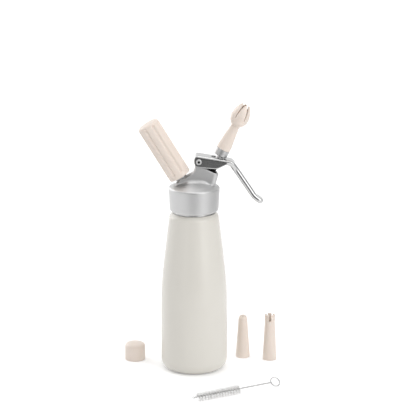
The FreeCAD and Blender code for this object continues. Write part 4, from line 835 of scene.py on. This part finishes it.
BRUSH_ALONG = Vector((math.cos(BRUSH_HEADING), math.sin(BRUSH_HEADING), 0))
BRUSH_ACROSS = Vector((-math.sin(BRUSH_HEADING), math.cos(BRUSH_HEADING), 0))
UP = Vector((0, 0, 1))
BRISTLE_PITCH = 3.9 * MM
BRISTLE_TURNS = 15
BRISTLES_PER_TURN = 120
BRISTLE_THICKNESS = 0.13 * MM
STRAND = 0.46 * MM
STRAND_STEPS = 620
TWIST_PITCH = BRISTLE_PITCH * 0.9
LOOP_RADIUS = 5.8 * MM
LOOP_WIRE = 0.75 * MM
LOOP_TILT = math.radians(45)
EYE_RADIUS = 1.2 * MM


def brush_axis():
    """The brush's middle line: the bristles' centre, half length and radius."""
    low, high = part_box("brush_bristles")
    radius = (high.z - low.z) / 2
    half = BRISTLE_PITCH * BRISTLE_TURNS / 2
    return (low + high) / 2, half, radius


def brush_bristles():
    """Nylon fibres that fan out round the twisted wire in one long spiral."""
    draw = random.Random(7)
    centre, half, radius = brush_axis()
    bm = bmesh.new()
    count = BRISTLE_TURNS * BRISTLES_PER_TURN
    for i in range(count):
        share = i / count
        turn = math.tau * BRISTLE_TURNS * share + draw.uniform(-0.1, 0.1)
        out = BRUSH_ACROSS * math.cos(turn) + UP * math.sin(turn)
        foot = centre + BRUSH_ALONG * (half * (2 * share - 1) + draw.uniform(-0.25, 0.25) * MM)
        length = radius * draw.uniform(0.93, 0.995)
        drift = BRUSH_ALONG * draw.uniform(-0.55, 0.55) * MM
        knee = foot + out * length * 0.55 + drift * 0.35
        tip = foot + out * length + drift
        add_tube(bm, [foot + out * 0.5 * MM, knee, tip], BRISTLE_THICKNESS / 2, 3)
    return finish_mesh(bm, "brush bristles")


def brush_wire():
    """Two steel strands twisted together, with a ring to hold and a small eye at the tip."""
    centre = brush_axis()[0]
    low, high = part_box("brush_wire")
    loop_up = BRUSH_ACROSS * math.sin(LOOP_TILT) + UP * math.cos(LOOP_TILT)
    ring_spread = math.hypot(BRUSH_ALONG.x, loop_up.x)
    loop_at = (high.x - LOOP_RADIUS * ring_spread - LOOP_WIRE - centre.x) / BRUSH_ALONG.x
    eye_at = (low.x + EYE_RADIUS * ring_spread + LOOP_WIRE - centre.x) / BRUSH_ALONG.x
    start, end = eye_at + EYE_RADIUS, loop_at - LOOP_RADIUS
    bm = bmesh.new()
    for phase in (0, math.pi):
        path = []
        for i in range(STRAND_STEPS + 1):
            share = i / STRAND_STEPS
            turn = phase + math.tau * (end - start) * share / TWIST_PITCH
            out = BRUSH_ACROSS * math.cos(turn) + UP * math.sin(turn)
            path.append(centre + BRUSH_ALONG * (start + (end - start) * share) + out * STRAND)
        add_tube(bm, path, STRAND, 8)
    add_ring(bm, centre + BRUSH_ALONG * loop_at, BRUSH_ALONG, loop_up, LOOP_RADIUS, LOOP_WIRE)
    add_ring(bm, centre + BRUSH_ALONG * eye_at, BRUSH_ALONG, loop_up, EYE_RADIUS, STRAND, 32, 8)
    return finish_mesh(bm, "brush wire")


add_piece("bristles", brush_bristles(), NYLON, "brush", ["brush_bristles"])
add_piece("twisted_wire", brush_wire(), STEEL, "brush", ["brush_wire"])


# Floor, lamps, world and camera. Mirrors see the room dim in some directions, and the floor's
# share of that, like its glow, grows with distance in metres.

FLOOR_GLOW = (0.22, 0.9)
GLOW_GROWS = (0.5, 3.0)
DIM_GROWS = (0.2, 0.9)
DARK = (0.03, 0.03, 0.03, 1)
WHITE = (1, 1, 1, 1)
ROOM_GREY = (0.55, 0.55, 0.55, 1)


def add_floor():
    """A broad pale floor: the camera sees it white, with the soft shadows kept."""
    bm = bmesh.new()
    bmesh.ops.create_grid(bm, x_segments=1, y_segments=1, size=15)
    mesh = bpy.data.meshes.new("floor")
    bm.to_mesh(mesh)
    bm.free()
    floor = bpy.data.objects.new("floor", mesh)
    bpy.context.scene.collection.objects.link(floor)
    material, tree, shader = new_material("pale floor", Roughness=0.9)
    paper = effect(tree, FINE_GRAIN, Grain_Size=4.0, Drift_Size=400.0)
    colour = blend_colours(tree, paper["Drift"], linear("F6F6F6"), linear("F8F8F8"))
    bearing = node(tree, "ShaderNodeVectorMath", {"operation": "NORMALIZE"}, (surface_point(tree),))
    parts = node(tree, "ShaderNodeSeparateXYZ", Vector=bearing.outputs["Vector"])
    place = node(tree, "ShaderNodeVectorMath", {"operation": "LENGTH"}, (surface_point(tree),))
    path = node(tree, "ShaderNodeLightPath")
    dim = effect(tree, ROOM_DIM, Across=parts.outputs["X"], Ahead=parts.outputs["Y"])["Dim"]
    away = spread(tree, place.outputs["Value"], *DIM_GROWS)
    dim = maths(tree, "MULTIPLY", maths(tree, "MULTIPLY", dim, away), path.outputs["Is Glossy Ray"])
    feed(tree, shader.inputs["Base Color"], blend_colours(tree, dim, colour, DARK))
    shader.inputs["Specular IOR Level"].default_value = 0.0
    seen = maths(tree, "MAXIMUM", path.outputs["Is Camera Ray"], path.outputs["Is Glossy Ray"])
    seen = maths(tree, "MAXIMUM", seen, path.outputs["Is Transmission Ray"])
    bright = spread(tree, place.outputs["Value"], *GLOW_GROWS, *FLOOR_GLOW)
    lift = maths(tree, "MULTIPLY", seen, maths(tree, "SUBTRACT", 1.0, dim))
    feed(tree, shader.inputs["Emission Color"], WHITE)
    feed(tree, shader.inputs["Emission Strength"], maths(tree, "MULTIPLY", lift, bright))
    dress(floor, material)


def add_lamp(name, place, width, height, watts):
    """A soft panel of light that faces the middle of the object."""
    lamp = bpy.data.lights.new(name, "AREA")
    lamp.shape = "RECTANGLE"
    lamp.size = width
    lamp.size_y = height
    lamp.energy = watts
    holder = bpy.data.objects.new(name, lamp)
    holder.location = place
    facing = Vector((0, 0, 0.14)) - Vector(place)
    holder.rotation_euler = facing.to_track_quat("-Z", "Y").to_euler()
    bpy.context.scene.collection.objects.link(holder)


def add_lamps():
    add_lamp("back left window", place=(-2.3, 1.9, 1.5), width=2.4, height=3.2, watts=42)
    add_lamp("right window", place=(2.2, -2.2, 1.6), width=2.6, height=3.4, watts=42)
    add_lamp("top panel", place=(0.1, 0.1, 3.2), width=3.0, height=3.0, watts=37)


def add_world():
    """A pale room: white to the eye, even grey to matt surfaces, and dim in places to mirrors."""
    world = bpy.data.worlds.new("pale room")
    bpy.context.scene.world = world
    world.use_nodes = True
    tree = world.node_tree
    tree.nodes.clear()
    direction = node(tree, "ShaderNodeTexCoord").outputs["Generated"]
    parts = node(tree, "ShaderNodeSeparateXYZ", Vector=direction)
    dim = effect(tree, ROOM_DIM, Across=parts.outputs["X"], Ahead=parts.outputs["Y"],
                 Up=parts.outputs["Z"])["Dim"]
    left_over = maths(tree, "MULTIPLY", maths(tree, "SUBTRACT", 1.0, dim), 0.95)
    room = node(tree, "ShaderNodeCombineColor", Red=left_over, Green=left_over, Blue=left_over)
    path = node(tree, "ShaderNodeLightPath")
    light = blend_colours(tree, path.outputs["Is Glossy Ray"], ROOM_GREY, room.outputs[0])
    light = blend_colours(tree, path.outputs["Is Camera Ray"], light, WHITE)
    shine = node(tree, "ShaderNodeBackground", Color=light, Strength=1.0)
    node(tree, "ShaderNodeOutputWorld", Surface=shine.outputs[0])


# The camera stands nearly three metres off and looks a little down.
IMAGE_LONG_SIDE = 410
CAMERA_FOCAL_PIXELS = 2457.0
CAMERA_PLACE = (0.00704, -2.8599, 0.9554)
CAMERA_PITCH = math.radians(14.714)


def add_camera():
    data = bpy.data.cameras.new("camera")
    data.sensor_fit = "AUTO"
    data.sensor_width = 36
    data.lens = CAMERA_FOCAL_PIXELS / IMAGE_LONG_SIDE * data.sensor_width
    data.clip_start = 0.1
    data.clip_end = 50
    camera = bpy.data.objects.new("camera", data)
    camera.location = CAMERA_PLACE
    camera.rotation_euler = (math.pi / 2 - CAMERA_PITCH, 0, 0)
    bpy.context.scene.collection.objects.link(camera)
    bpy.context.scene.camera = camera


add_floor()
add_lamps()
add_world()
add_camera()
bpy.context.scene.view_settings.view_transform = "Standard"
